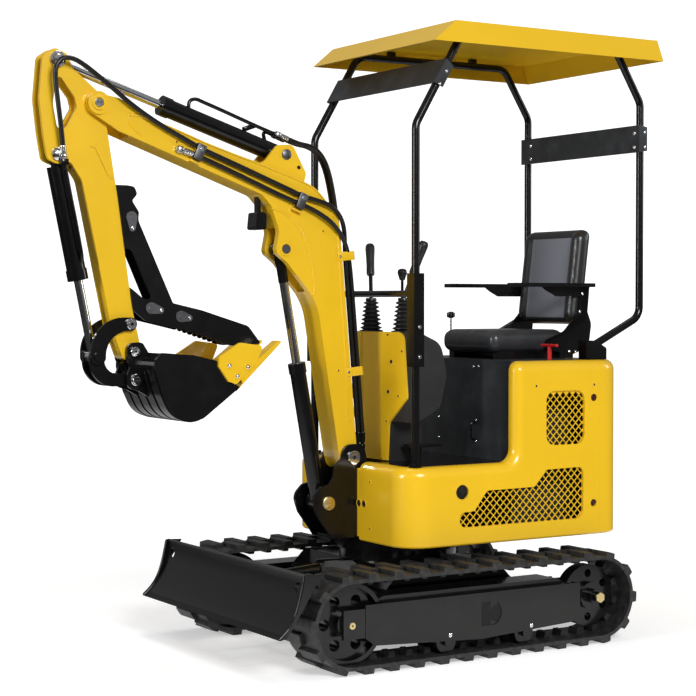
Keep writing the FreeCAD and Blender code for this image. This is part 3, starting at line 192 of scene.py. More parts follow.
def satin_black(name, colour, roughness):
    """Glossy black powder coat with a fine grain and rubbed, slightly greyer patches."""
    coat = Finish(name, IOR=1.42)
    rubbed = coat.ramp(coat.noise(14, 5), (0.45, 0), (0.8, 1))
    coat.set("Base Color", coat.blend(rubbed, colour, shade(colour, 2.0)))
    coat.set("Roughness", coat.noise(40, 3) * 0.10 + (roughness - 0.05))
    coat.bump(coat.noise(700, 2), 0.06, 0.0005)
    return coat.material


def blade_coat():
    """Black coat of the blade, duller and darker on its cutting strip."""
    strip_top = 0.151
    strip_back = 0.70
    coat = Finish("blade_coat", IOR=1.42)
    strip = (coat.axis("Z") < strip_top) * (coat.axis("X") > strip_back)
    coat.set("Base Color", coat.blend(strip, (0.0042, 0.0042, 0.0046), (0.0016, 0.0016, 0.0017)))
    coat.set("Roughness", coat.noise(40, 3) * 0.10 + strip * 0.28 + 0.15)
    coat.bump(coat.noise(700, 2), 0.06, 0.0005)
    return coat.material


def track_rubber():
    """Moulded rubber: matte, pebbled, dusty grey in its hollows."""
    rubber = Finish("track_rubber", IOR=1.45)
    dust = rubber.ramp(rubber.noise(45, 6), (0.42, 0), (0.72, 1))
    rubber.set("Base Color", rubber.blend(dust, (0.011, 0.011, 0.012), (0.034, 0.033, 0.031)))
    rubber.set("Roughness", rubber.noise(120, 4) * 0.22 + 0.42)
    rubber.bump(rubber.noise(340, 4), 0.35, 0.0009)
    return rubber.material


def bright_steel(name, colour, roughness):
    """Plated or ground steel with fine turning marks."""
    steel = Finish(name, Metallic=1.0)
    marks = steel.noise(60, 5, steel.stretched(1, 14, 1))
    steel.set("Base Color", steel.blend(marks, shade(colour, 0.82), colour))
    steel.set("Roughness", marks * 0.14 + roughness)
    steel.bump(steel.noise(900, 2), 0.03, 0.0003)
    return steel.material


def moulded_plastic(name, colour, roughness):
    """Plastic with a fine pebbled texture."""
    plastic = Finish(name, IOR=1.46)
    tone = plastic.noise(18, 3)
    plastic.set("Base Color", plastic.blend(tone, shade(colour, 0.8), shade(colour, 1.25)))
    plastic.set("Roughness", plastic.noise(60, 2) * 0.12 + (roughness - 0.06))
    pebble = plastic.node("ShaderNodeTexVoronoi", {}, {"Vector": plastic.place, "Scale": 620.0})
    plastic.bump(pebble, 0.16, 0.0004)
    return plastic.material


def seat_vinyl(name, ribbed_highlit_panel):
    """Coated seat cloth with a leather grain; the ribbed one has a panel of upright ribbing, its pale
    grey colour a painted highlight.
    """
    panel_half_width = 0.112
    panel_low = 1.110
    panel_high = 1.398
    rib_pitch = 0.0045
    vinyl = Finish(name, IOR=1.5, Coat_Weight=0.12, Coat_Roughness=0.3)
    grain = vinyl.node("ShaderNodeTexVoronoi", {}, {"Vector": vinyl.place, "Scale": 520.0})
    vinyl.set("Roughness", vinyl.noise(34, 3) * 0.12 + 0.24)
    height = grain * 0.5
    if ribbed_highlit_panel:
        # Mask of the ribbed panel: it carries the real ribbing and the painted highlight.
        inside = vinyl.axis("Y").maths("ABSOLUTE") < panel_half_width
        inside = inside * (vinyl.axis("Z") > panel_low) * (vinyl.axis("Z") < panel_high)
        # Painted highlight: the panel's pale grey stands in for the soft highlight on the black seat
        # back.
        vinyl.set("Base Color", vinyl.blend(inside, (0.018, 0.0185, 0.020), (0.212, 0.226, 0.268)))
        wave = (vinyl.axis("Y") * (TURN / rib_pitch)).maths("SINE") * 0.5
        height = height + wave * inside
    else:
        worn = vinyl.ramp(vinyl.noise(11, 3), (0.4, 0), (0.75, 1))
        vinyl.set("Base Color", vinyl.blend(worn, (0.026, 0.0265, 0.029), (0.044, 0.046, 0.050)))
    vinyl.bump(height, 0.22, 0.0005)
    return vinyl.material


def cast_iron():
    """Rough grey iron of the hidden engine block."""
    iron = Finish("block_iron", Metallic=0.6)
    iron.set("Base Color", iron.blend(iron.noise(30, 4), (0.05, 0.05, 0.05), (0.12, 0.12, 0.12)))
    iron.set("Roughness", iron.noise(60, 2) * 0.2 + 0.5)
    iron.bump(iron.noise(200, 4), 0.4)
    return iron.material


YELLOW = enamel("yellow_enamel", (0.86, 0.525, 0.014))
BLACK = satin_black("black_coat", (0.0035, 0.0035, 0.0038), 0.17)
HOSE = satin_black("hose_rubber", (0.0055, 0.0055, 0.0055), 0.30)
HOSE_R = 0.0078
WEAR = satin_black("scuffed_black", (0.004, 0.004, 0.0044), 0.20)
BRACE = satin_black("brace_coat", (0.026, 0.0285, 0.032), 0.38)
BLADE = blade_coat()
RUBBER = track_rubber()
CHROME = bright_steel("chrome_plate", (0.82, 0.83, 0.85), 0.06)
ZINC = bright_steel("zinc_plate", (0.62, 0.63, 0.64), 0.20)
ZINC_GREY = bright_steel("grey_zinc", (0.15, 0.15, 0.16), 0.36)
GOLD = bright_steel("yellow_zinc", (0.78, 0.62, 0.30), 0.22)
PLASTIC = moulded_plastic("console_plastic", (0.020, 0.020, 0.021), 0.42)
# Near-black painted shade for holes, sunk screw heads, bores and recesses.
RECESS_SHADE = moulded_plastic("shadowed_recess", (0.0018, 0.0018, 0.0019), 0.8)
LATCH = moulded_plastic("latch_brown", (0.050, 0.010, 0.006), 0.4)
GRIP = moulded_plastic("grip_rubber", (0.016, 0.016, 0.017), 0.34)
RED = moulded_plastic("red_knob", (0.60, 0.012, 0.014), 0.30)
VINYL = seat_vinyl("seat_vinyl", False)
# Seat back vinyl whose ribbed panel carries a painted highlight.
RIBBED_HIGHLIT_VINYL = seat_vinyl("ribbed_vinyl_painted_highlight", True)
IRON = cast_iron()

NODE_FINISH = {
    YELLOW: ["boom", "arm", "side_cover_left", "side_cover_right", "rear_cover", "console_cover",
             "canopy_roof", "bucket_cutters", "grilles"],
    RUBBER: ["track_left", "track_right"],
    CHROME: ["lift_ram_rod", "arm_ram_rod", "bucket_ram_rod", "blade_ram_rod"],
    ZINC: ["boom_pins"],
    WEAR: ["bucket", "thumb"],
    BLADE: ["blade"],
    BRACE: ["canopy_braces", "seat_box"],
    PLASTIC: ["console", "controls", "levers"],
    VINYL: ["seat_cushion", "seat_back"],
    IRON: ["engine_block"],
    HOSE: ["boom_hoses"],
}


def finish_nodes():
    """Gives each CAD node its finish; the rest is black coat."""
    chosen = {name: finish for finish, names in NODE_FINISH.items() for name in names}
    for name, node in NODES.items():
        for slot in node.material_slots:
            slot.material = chosen.get(name, BLACK)


# ================================================================ mesh helpers
WELD = 2e-6


def added(name, data):
    """A new object in the scene."""
    made = bpy.data.objects.new(name, data)
    bpy.context.scene.collection.objects.link(made)
    return made


def finished(name, bm, body, finish, sharp=38):
    """Makes a welded mesh with outward faces into a piece that rides on a body."""
    bmesh.ops.remove_doubles(bm, verts=bm.verts, dist=WELD)
    bmesh.ops.recalc_face_normals(bm, faces=bm.faces)
    mesh = bpy.data.meshes.new(name)
    bm.to_mesh(mesh)
    bm.free()
    mesh.shade_smooth()
    mesh.set_sharp_from_angle(angle=math.radians(sharp))
    mesh.materials.append(finish)
    made = added(name, mesh)
    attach(made, body)
    return made


def shifted(x=0.0, y=0.0, z=0.0):
    """A place moved along the axes."""
    return Matrix.Translation((x, y, z))


def facing(point, axis, spin=0.0):
    """A place at a point whose Z runs along an axis."""
    turn = Vector(axis).to_track_quat("Z", "Y").to_matrix().to_4x4()
    return Matrix.Translation(Vector(point)) @ turn @ Matrix.Rotation(spin, 4, "Z")


def turned(bm, profile, place, steps=28):
    """Spins a profile of (radius, height) about a place's Z axis."""
    corners = [bm.verts.new(place @ Vector((r, 0, h))) for r, h in profile]
    edges = [bm.edges.new(pair) for pair in zip(corners, corners[1:])]
    axis = place.to_3x3() @ Vector((0, 0, 1))
    bmesh.ops.spin(bm, geom=corners + edges, cent=place.translation, axis=axis, angle=TURN,
                   steps=steps, use_merge=True)


def slab(bm, size, place, bevel=0.0, segments=2):
    """A box of a size centred on a place, its edges rounded."""
    made = bmesh.ops.create_cube(bm, size=1.0, matrix=place @ Matrix.Diagonal((*size, 1)))
    if bevel:
        edges = list({edge for vert in made["verts"] for edge in vert.link_edges})
        bmesh.ops.bevel(bm, geom=edges, offset=bevel, affect="EDGES", segments=segments,
                        profile=0.5, material=-1)


def hexagon(bm, place, across, height, bevel):
    """A hexagon head with its rim chamfered."""
    spot = place @ shifted(z=height / 2)
    made = bmesh.ops.create_cone(bm, cap_ends=True, segments=6, radius1=across / math.sqrt(3),
                                 radius2=across / math.sqrt(3), depth=height, matrix=spot)
    edges = list({edge for vert in made["verts"] for edge in vert.link_edges})
    bmesh.ops.bevel(bm, geom=edges, offset=bevel, affect="EDGES", segments=1, profile=0.5,
                    material=-1)


def bolt(bm, point, axis, size):
    """A hexagon bolt on its washer."""
    place = facing(point, axis, spin=0.3)
    washer = [(0, -0.0005), (size * 0.95, -0.0005), (size * 0.95, size * 0.14), (0, size * 0.14)]
    turned(bm, washer, place, steps=20)
    hexagon(bm, place @ shifted(z=size * 0.1), across=size, height=size * 0.5, bevel=size * 0.05)


def button_screw(bm, point, axis, radius):
    """A domed socket screw."""
    place = facing(point, axis)
    dome = [(radius * 0.42, radius * 0.1), (radius * 0.45, radius * 0.62),
            (radius * 0.8, radius * 0.45), (radius, radius * 0.05), (radius, -0.0004), (0, -0.0004)]
    turned(bm, dome, place, steps=18)
    turned(bm, [(0, radius * 0.12), (radius * 0.45, radius * 0.12)], place, steps=6)


# ================================================================ hoses
def run_of(route, radius):
    """The centreline and the tube mesh of one smooth line along chosen points."""
    data = bpy.data.curves.new("route", "CURVE")
    data.dimensions = "3D"
    data.bevel_resolution = 5
    data.resolution_u = 10
    data.use_fill_caps = True
    line = data.splines.new("NURBS")
    line.points.add(len(route) - 1)
    for point, spot in zip(line.points, route):
        point.co = (*spot, 1)
    line.order_u = 3
    line.use_endpoint_u = True
    shaped = added("route", data)
    meshes = []
    for bevel in (0.0, radius):
        data.bevel_depth = bevel
        bpy.context.view_layer.update()
        graph = bpy.context.evaluated_depsgraph_get()
        meshes.append(bpy.data.meshes.new_from_object(shaped.evaluated_get(graph)))
    bpy.data.objects.remove(shaped)
    bpy.data.curves.remove(data)
    path = [tuple(vert.co) for vert in meshes[0].vertices]
    bpy.data.meshes.remove(meshes[0])
    return path, meshes[1]


def tube(name, route, radius, finish):
    """A round tube along a route, not yet riding on a body, and the line that it follows."""
    path, mesh = run_of(route, radius)
    mesh.name = name
    mesh.shade_smooth()
    mesh.materials.clear()
    mesh.materials.append(finish)
    made = added(name, mesh)
    return made, path


def pipe(name, route, radius, body, finish):
    """A rigid round pipe, rod or bead that rides on a body."""
    made, _ = tube(name, route, radius, finish)
    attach(made, body)


def blended_hose(name, route):
    """A hose tube along a route with its transform baked in; it rides on no body."""
    made, path = tube(name, route, HOSE_R, HOSE)
    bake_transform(made)
    return made


def millimetres(*spots):
    """Points given in millimetres, as vectors in metres."""
    return [Vector(spot) / 1000 for spot in spots]


def hoses():
    """Two hoses along the boom's left side and two from the arm ram, all down the boom's back."""
    upper = millimetres(
        (1260, 52, 1622), (1265, 55, 1662), (1272, 59, 1714), (1282, 62, 1780), (1290, 64, 1838),
        (1292, 67, 1885), (1270, 69, 1913), (1235, 69, 1914), (1198, 69, 1896), (1156, 69, 1868),
        (1103, 68, 1831), (1049, 67, 1790), (986, 66, 1751), (919, 65, 1715), (860, 65, 1688),
        (797, 65, 1658), (740, 64, 1637), (646, 64, 1603), (550, 64, 1567), (470, 64, 1537),
        (425, 65, 1519), (385, 66, 1509), (342, 68, 1499), (303, 67, 1484), (272, 61, 1458),
        (252, 53, 1424), (243, 46, 1384), (241, 43, 1330), (238, 43, 1290), (228, 43, 1180),
        (216, 43, 1040), (203, 43, 890), (191, 43, 752), (188, 43, 712))
    blended_hose("boom_hose_upper", upper)
    lower = millimetres(
        (830, 62, 1641), (806, 63, 1634), (783, 64, 1625), (716, 64, 1600), (651, 64, 1575),
        (590, 64, 1551), (527, 64, 1526), (470, 64, 1505), (427, 65, 1490), (385, 67, 1475),
        (345, 69, 1455), (305, 69, 1430), (270, 63, 1396), (243, 53, 1358), (226, 44, 1316),
        (219, 43, 1270), (210, 43, 1180), (198, 43, 1040), (185, 43, 890), (173, 43, 752),
        (170, 43, 712))
    made, path = tube("boom_hose_lower", lower, HOSE_R, HOSE)
    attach(made, "boom")
    for side, name in SIDES:
        y = side * 11
        ram = millimetres(
            (452, y, 1711), (428, y, 1703), (397, y, 1694), (362, y, 1690), (330, y, 1677),
            (303, y, 1647), (285, y, 1606), (273, y, 1560), (263, y, 1510), (255, y, 1455),
            (248, y, 1395), (241, y, 1320), (232, y, 1210), (219, y, 1060), (205, y, 900),
            (192, y, 752), (189, y, 712))
        made = blended_hose("arm_ram_hose_" + name, ram)
        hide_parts("boom_hoses")


def fitting(steel, point, axis, radius, length):
    """A crimped sleeve with its hexagon nut."""
    place = facing(point, axis)
    outer = radius * 1.34
    groove = radius * 1.22
    neck = radius * 0.95
    sleeve = [(0, 0), (radius * 1.28, 0), (outer, 0.0015)]
    for i in range(3):
        at = 0.004 + i * (length * 0.5 - 0.004) / 3
        sleeve += [(outer, at), (groove, at + 0.0008), (groove, at + 0.0022), (outer, at + 0.003)]
    sleeve += [(outer, length * 0.52), (neck, length * 0.56), (neck, length), (0, length)]
    turned(steel, sleeve, place, steps=20)
    nut = place @ shifted(z=length * 0.62)
    hexagon(steel, nut, across=radius * 2.7, height=length * 0.3, bevel=0.0008)


def hose_fittings():
    """Bright fittings at the hoses' upper ends, black ones below, and the bucket ram's port."""
    steel = bmesh.new()
    fitting(steel, (0.822, 0.062, 1.638), (0.96, 0.0, 0.28), HOSE_R, 0.062)
    finished("boom_hose_fittings", steel, "boom", ZINC)
    black = bmesh.new()
    for x, y in ((0.188, 0.043), (0.170, 0.043), (0.189, 0.011), (0.189, -0.011)):
        fitting(black, (x, y, 0.722), (0.04, 0, -1), HOSE_R * 0.96, 0.064)
    finished("boom_hose_lower_fittings", black, "boom", BLACK)
    ram = bmesh.new()
    for side in (1, -1):
        fitting(ram, (0.446, side * 0.011, 1.7075), (0.94, 0, 0.34), HOSE_R, 0.052)
    finished("arm_ram_fittings", ram, "arm_ram_barrel", ZINC)
    end = bmesh.new()
    fitting(end, (1.2632, 0.0538, 1.646), (-0.12, -0.08, -1), HOSE_R, 0.042)
    finished("bucket_ram_fitting", end, "bucket_ram_barrel", ZINC)
    port = bmesh.new()
    slab(port, (0.022, 0.026, 0.020), facing((1.2565, 0.047, 1.596), (0, 0, 1)), 0.002)
    finished("bucket_ram_port", port, "bucket_ram_barrel", BLACK)


def ram_pipes():
    """The rigid pipes of the bucket ram and the arm ram, and the clip under the arm ram's."""
    feed = millimetres(
        (1256, 47, 1592), (1250, 48, 1560), (1238, 47, 1500), (1222, 45, 1430), (1205, 42, 1350),
        (1196, 38, 1310), (1192, 30, 1292))
    pipe("bucket_ram_feed_pipe", feed, 0.0068, "bucket_ram_barrel", BLACK)
    rod_side = millimetres(
        (812, 11, 1786), (813, 11, 1803), (806, 11, 1817), (786, 11, 1822), (764, 11, 1814),
        (700, 11, 1793), (620, 11, 1765), (548, 11, 1740), (492, 11, 1722))
    pipe("arm_ram_pipe", rod_side, 0.0062, "arm_ram_barrel", BLACK)
    foot_side = millimetres(
        (520, -11, 1688), (520, -11, 1704), (527, -11, 1722), (520, -11, 1731), (506, -11, 1728),
        (492, -11, 1722))
    pipe("arm_ram_stub", foot_side, 0.0062, "arm_ram_barrel", BLACK)
    clip = bmesh.new()
    slab(clip, (0.020, 0.046, 0.016), facing((0.585, 0, 1.741), (0.34, 0, 0.94)), 0.003)
    finished("arm_ram_pipe_clip", clip, "arm_ram_barrel", BLACK)


def hose_clamps():
    """Grey clamp plates on the boom's side, their yellow tabs, and two more tabs down its back."""
    plates = bmesh.new()
    tabs = bmesh.new()
    bolts = bmesh.new()
    slope = Matrix.Rotation(math.radians(-23), 4, "Y")
    for x, z in ((0.8005, 1.651), (0.4235, 1.5065)):
        place = shifted(x, 0.0755, z) @ slope
        slab(plates, (0.031, 0.005, 0.053), place @ shifted(z=-0.0065), 0.0016)
        for end in (0.018, -0.031):
            slab(plates, (0.031, 0.019, 0.005), place @ shifted(0, -0.0085, end), 0.0014)
        slab(tabs, (0.036, 0.016, 0.006), place @ shifted(0, -0.0135, -0.042), 0.0012)
        slab(tabs, (0.026, 0.004, 0.066), place @ shifted(0, -0.0215, -0.008), 0.001)
        bolt(bolts, place @ Vector((0, 0.0020, 0.004)), (0, 1, 0), 0.008)
    lean = Matrix.Rotation(math.radians(5), 4, "Y")
    for z in (1.321, 0.930):
        boom_back = 0.252 - 0.087 * (1.270 - z)
        place = shifted(boom_back - 0.014, 0.054, z) @ lean
        slab(tabs, (0.066, 0.003, 0.030), place, 0.001)
        slab(tabs, (0.003, 0.036, 0.030), place @ shifted(-0.0315, -0.0165, 0), 0.001)
        bolt(bolts, place @ Vector((0.024, 0.001, 0)), (0, 1, 0), 0.005)
    finished("hose_clamp_plates", plates, "boom", ZINC_GREY)
    finished("hose_clamp_tabs", tabs, "boom", YELLOW)
    finished("hose_clamp_bolts", bolts, "boom", ZINC)


# ================================================================ seat
SWELL_STEPS = 20
SWELL_PRESSURE = 3.0
VOXEL = 0.006


def simulated(made, cap):
    """Swells a closed pad with cloth pressure and caps its movement."""
    scene = bpy.context.scene
    bpy.context.view_layer.objects.active = made
    before = [vert.co.copy() for vert in made.data.vertices]
    cloth = made.modifiers.new("swell", "CLOTH")
    cloth.settings.use_pressure = True
    cloth.settings.uniform_pressure_force = SWELL_PRESSURE
    cloth.settings.effector_weights.gravity = 0
    cloth.settings.quality = 5
    for step in range(SWELL_STEPS):
        scene.frame_set(step + 1)
    shaped = made.evaluated_get(bpy.context.evaluated_depsgraph_get()).to_mesh()
    moved = [vert.co.copy() for vert in shaped.vertices]
    made.modifiers.remove(cloth)
    scene.frame_set(1)
    for vert, start, end in zip(made.data.vertices, before, moved):
        change = end - start
        if change.length > cap:
            change = change.normalized() * cap
        vert.co = start + change


def pad(name, bm, node, finish, cap):
    """A padded seat piece that stands for a plain CAD solid."""
    made = finished(name, bm, "house", finish, sharp=180)
    remesh = made.modifiers.new("even", "REMESH")
    remesh.mode = "VOXEL"
    remesh.voxel_size = VOXEL
    graph = bpy.context.evaluated_depsgraph_get()
    even = bpy.data.meshes.new_from_object(made.evaluated_get(graph))
    made.modifiers.clear()
    made.data = even
    simulated(made, cap)
    smooth = made.modifiers.new("round", "SUBSURF")
    smooth.levels = 1
    smooth.render_levels = 1
    made.data.shade_smooth()
    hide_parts(node)


def seat_cushion():
    """The thick cushion; its padded front stands a little proud of the plain solid."""
    low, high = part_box("seat_cushion")
    low = low + Vector((0.005, 0.003, -0.004))
    high = high + Vector((0.014, -0.003, 0.008))
    bm = bmesh.new()
    slab(bm, high - low, Matrix.Translation((low + high) / 2), bevel=0.030, segments=5)
    pad("seat_cushion_pad", bm, "seat_cushion", VINYL, cap=0.004)


def seat_back():
    """The back cushion: a flat panel between two rounded upright rolls."""
    low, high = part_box("seat_back")
    middle = (low + high) / 2 - Vector((0, 0, 0.005))
    place = Matrix.Translation(middle) @ Matrix.Rotation(math.radians(-7), 4, "Y")
    width = high.y - low.y - 0.006
    height = high.z - low.z + 0.006
    roll_width = 0.054
    bm = bmesh.new()
    panel = (0.054, width - 0.006, height)
    slab(bm, panel, place @ shifted(-0.006), bevel=0.024, segments=5)
    for side in (1, -1):
        roll = place @ shifted(0.003, side * (width / 2 - roll_width / 2), 0)
        slab(bm, (0.060, roll_width, height - 0.020), roll, bevel=0.0262, segments=5)
    pad("seat_back_pad", bm, "seat_back", RIBBED_HIGHLIT_VINYL, cap=0.0012)


# ================================================================ controls
def joysticks():
    """Two bellows with levers and shaped grips, and the knob lever between them."""
    rubber = bmesh.new()
    steel = bmesh.new()
    for side in (1, -1):
        foot = Vector((0.043, side * 0.103, 1.060))
        folds = [(0.0, 0.0005), (0.042, 0.0005), (0.042, 0.006)]
        for i in range(7):
            radius = 0.038 - i * 0.0018
            height = 0.010 + i * 0.0145
            folds += [(radius - 0.010, height), (radius, height + 0.004), (radius, height + 0.007),
                      (radius - 0.010, height + 0.0115)]
        folds += [(0.020, 0.112), (0.018, 0.120), (0.0, 0.120)]
        turned(rubber, folds, Matrix.Translation(foot))
        neck = foot + Vector((0, 0, 0.115))
        top = Vector((0.003, side * 0.174, 1.372))
        lean = facing(neck, top - neck)
        length = (top - neck).length
        turned(steel, [(0, 0), (0.007, 0), (0.007, length * 0.6), (0, length * 0.6)], lean, steps=16)
        grip = [(0, 0.44), (0.0135, 0.44), (0.0145, 0.47), (0.0140, 0.60), (0.0150, 0.75),
                (0.0168, 0.90), (0.0160, 0.96), (0.0120, 0.99), (0, 1.0)]
        turned(rubber, [(r, h * length) for r, h in grip], lean)
    foot = facing((-0.02, 0, 1.060), (0, 0, 1))
    turned(steel, [(0, 0), (0.005, 0), (0.005, 0.19), (0, 0.19)], foot, steps=14)
    knob = [(0, 0.182), (0.009, 0.182), (0.012, 0.192), (0.0168, 0.206), (0.0150, 0.217),
            (0.0080, 0.2215), (0, 0.222)]
    turned(rubber, knob, foot)
    grips = finished("joystick_grips", rubber, "house", GRIP, sharp=50)
    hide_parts("controls")
    finished("joystick_levers", steel, "house", BLACK)


def side_levers():
    """The star knob on its rod and the red pull handle."""
    low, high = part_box("levers")
    knob = bmesh.new()
    top = Vector((-0.388, -0.230, high.z - 0.016))
    hub = [(0, -0.012), (0.009, -0.012), (0.009, 0.012), (0, 0.012)]
    turned(knob, hub, Matrix.Translation(top), steps=16)
    lobe = [(0, -0.009), (0.0038, -0.009), (0.0050, -0.006), (0.0050, 0.006), (0.0038, 0.009),
            (0, 0.009)]
    for i in range(6):
        at = Matrix.Translation(top) @ Matrix.Rotation(i * TURN / 6, 4, "Z") @ shifted(0.0112)
        turned(knob, lobe, at, steps=12)
    star = finished("star_knob", knob, "house", GRIP)
    rod = bmesh.new()
    stem = [(0, low.z), (0.0035, low.z), (0.0035, top.z), (0, top.z)]
    turned(rod, stem, shifted(top.x, top.y), steps=14)
    finished("star_knob_rod", rod, "house", ZINC)
    red = bmesh.new()
    foot = shifted(-0.473, 0.250, low.z)
    turned(red, [(0, 0), (0.0085, 0), (0.0075, 0.044), (0, 0.044)], foot, steps=18)
    slab(red, (0.012, 0.088, 0.010), foot @ shifted(z=0.049), 0.0035)
    handle = finished("red_pull_handle", red, "house", RED)
    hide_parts("levers")
    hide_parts("levers")


# ================================================================ pins, bolts and screws
def pin_end(bm, place, radius, lift):
    """A chamfered pin end with a socket screw sunk in its middle."""
    hole = radius * 0.26
    profile = [(0, lift - 0.006), (hole, lift - 0.006), (hole, lift - 0.0006),
               (hole * 2, lift - 0.0006), (hole * 2.15, lift - 0.0022), (hole * 2.4, lift - 0.0022),
               (hole * 2.55, lift), (radius * 0.9, lift), (radius, lift - 0.002), (radius, -0.002),
               (0, -0.002)]
    turned(bm, profile, place)


def plain_end(bm, place, radius, lift):
    """A plain pin end with a small chamfer."""
    profile = [(0, lift), (radius * 0.88, lift), (radius, lift - 0.0016), (radius, -0.002),
               (0, -0.002)]
    turned(bm, profile, place)


def domed_end(bm, place, radius, lift):
    """A domed head without a chamfer."""
    profile = [(0, lift), (radius * 0.35, lift * 0.94), (radius * 0.65, lift * 0.76),
               (radius * 0.88, lift * 0.42), (radius, 0.001), (radius, -0.002), (0, -0.002)]
    turned(bm, profile, place)


def ring(bm, place, inner, outer, height):
    """A flat ring with chamfered edges."""
    edge = min(0.0012, height * 0.4)
    profile = [(inner, -0.002), (inner, height - edge), (inner + edge, height),
               (outer - edge, height), (outer, height - edge), (outer, -0.002), (inner, -0.002)]
    turned(bm, profile, place, steps=36)


def both_sides(x, z, reach):
    """The places of a cross pin's two ends, facing outward."""
    return [facing(Vector((x, side * reach, z)), (0, side, 0)) for side in (1, -1)]


def socketed_pins():
    """Pin ends with socket screws: two pins on the guide links, two on the bucket, the boom's foot.

    The joint bucket_link_turn lies at the bucket's tie pin, so the guide links' second pair stands
    there too and not at their outer end.
    """
    pins = {
        "guide_links": ((PIN["guide_links_turn"], 0.045, 0.0178, 0.011),
                        (PIN["bucket_link_turn"], 0.045, 0.0188, 0.010)),
        "bucket": ((PIN["bucket_curl"], 0.0552, 0.0158, 0.004),
                   (PIN["bucket_link_turn"], 0.0552, 0.0152, 0.004)),
        "house": ((PIN["boom_lift"], 0.066, 0.0240, 0.0085),),
    }
    for body, ends in pins.items():
        bm = bmesh.new()
        for point, reach, radius, height in ends:
            for place in both_sides(point.x, point.z, reach):
                pin_end(bm, place, radius, height)
        finished(body + "_pin_ends", bm, body, CHROME)


def boom_pins():
    """The pin ends at the boom's nose and at the eyes of the two rams on the boom."""
    nose = PIN["arm_swing"]
    ram_foot = PIN["arm_ram_tilt"]
    bright = bmesh.new()
    dark = bmesh.new()
    rings = bmesh.new()
    for place in both_sides(nose.x, nose.z, 0.058):
        plain_end(bright, place, 0.0140, 0.0036)
        ring(rings, place, 0.0152, 0.0235, 0.0045)
        # Two near-black discs on each nose pin end: painted shade in its holes.
        for shift in (-0.0052, 0.0052):
            plain_end(dark, place @ shifted(shift, 0.001, 0.0034), 0.0026, 0.0005)
    for place in both_sides(LIFT_ROD_EYE.x, LIFT_ROD_EYE.z, 0.0522):
        ring(rings, place, 0.0158, 0.0235, 0.0028)
    finished("nose_pin_ends", bright, "boom", CHROME)
    finished("nose_pin_hole_shade", dark, "boom", RECESS_SHADE)
    finished("boom_pin_rings", rings, "boom", YELLOW)
    grey = bmesh.new()
    for place in both_sides(ram_foot.x, ram_foot.z, 0.0445):
        plain_end(grey, place, 0.0172, 0.0055)
    for place in both_sides(LIFT_ROD_EYE.x, LIFT_ROD_EYE.z, 0.052):
        plain_end(grey, place, 0.0150, 0.0055)
    made = finished("boom_ram_pin_ends", grey, "boom", ZINC_GREY)
    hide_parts("boom_pins")


def arm_pins():
    """The pin ends at the arm's top, of the arm ram's rod and the bucket ram's foot."""
    bucket_ram = PIN["bucket_ram_tilt"]
    bright = bmesh.new()
    for place in both_sides(ARM_ROD_EYE.x, ARM_ROD_EYE.z, 0.037):
        ring(bright, place, 0.0166, 0.0252, 0.003)
        plain_end(bright, place, 0.0150, 0.006)
    for place in both_sides(bucket_ram.x, bucket_ram.z, 0.037):
        domed_end(bright, place, 0.0205, 0.009)
    finished("arm_pin_ends", bright, "arm", CHROME)


def lift_ram_foot_pins():
    """The yellow-plated pin ends at the lift ram's foot."""
    lift = PIN["lift_ram_tilt"]
    brass = bmesh.new()
    for place in both_sides(lift.x, lift.z, 0.066):
        plain_end(brass, place, 0.0235, 0.0065)
        ring(brass, place @ shifted(z=0.0060), 0.0185, 0.0215, 0.0012)
    finished("lift_ram_foot_ends", brass, "house", GOLD)


def rod_end(name, body, pin, toward, eye_radius, half_width, rod_radius, reach):
    """The black knuckle at a ram rod's eye and the black end of its rod."""
    bm = bmesh.new()
    knuckle = [(0.0, 0), (eye_radius, 0), (eye_radius, half_width - 0.002),
               (eye_radius - 0.002, half_width), (0, half_width)]
    for side in (1, -1):
        turned(bm, knuckle, facing(pin, (0, side, 0)))
    socket = rod_radius * 1.25
    collar = rod_radius * 1.12
    neck = [(0, 0), (socket, 0), (socket, reach * 0.42), (collar, reach * 0.5), (collar, reach),
            (0, reach)]
    turned(bm, neck, facing(pin, toward - pin))
    finished(name, bm, body, BLACK)


def rod_ends():
    """The rod ends of the lift, arm and bucket rams, the last one at the bucket's tie pin."""
    rod_end("lift_rod_end", "lift_ram_rod", LIFT_ROD_EYE, PIN["lift_ram_tilt"],
            eye_radius=0.0242, half_width=0.0244, rod_radius=0.0150, reach=0.112)
    rod_end("arm_rod_end", "arm_ram_rod", ARM_ROD_EYE, PIN["arm_ram_tilt"],
            eye_radius=0.0226, half_width=0.0173, rod_radius=0.0140, reach=0.034)
    rod_end("bucket_rod_end", "bucket_ram_rod", PIN["bucket_link_turn"], PIN["bucket_ram_tilt"],
            eye_radius=0.0224, half_width=0.0203, rod_radius=0.0145, reach=0.060)


def keeper(bm, place, tip, big, small, thickness):
    """A flat teardrop plate round a large and a small chamfered disc, with a pin end on the large."""
    verts = []
    for centre, radius in ((Vector((0, 0, 0)), big), (tip, small)):
        for r, h in ((radius, 0), (radius, thickness - 0.0008), (radius - 0.0008, thickness)):
            at = place @ Matrix.Translation(centre + Vector((0, 0, h)))
            verts += bmesh.ops.create_circle(bm, segments=28, radius=r, matrix=at)["verts"]
    hull = bmesh.ops.convex_hull(bm, input=verts)
    inside = {part for part in hull["geom_interior"] + hull["geom_unused"]
              if isinstance(part, bmesh.types.BMVert)}
    bmesh.ops.delete(bm, geom=list(inside), context="VERTS")
    plain_end(bm, place @ shifted(z=thickness), big * 0.52, 0.0012)


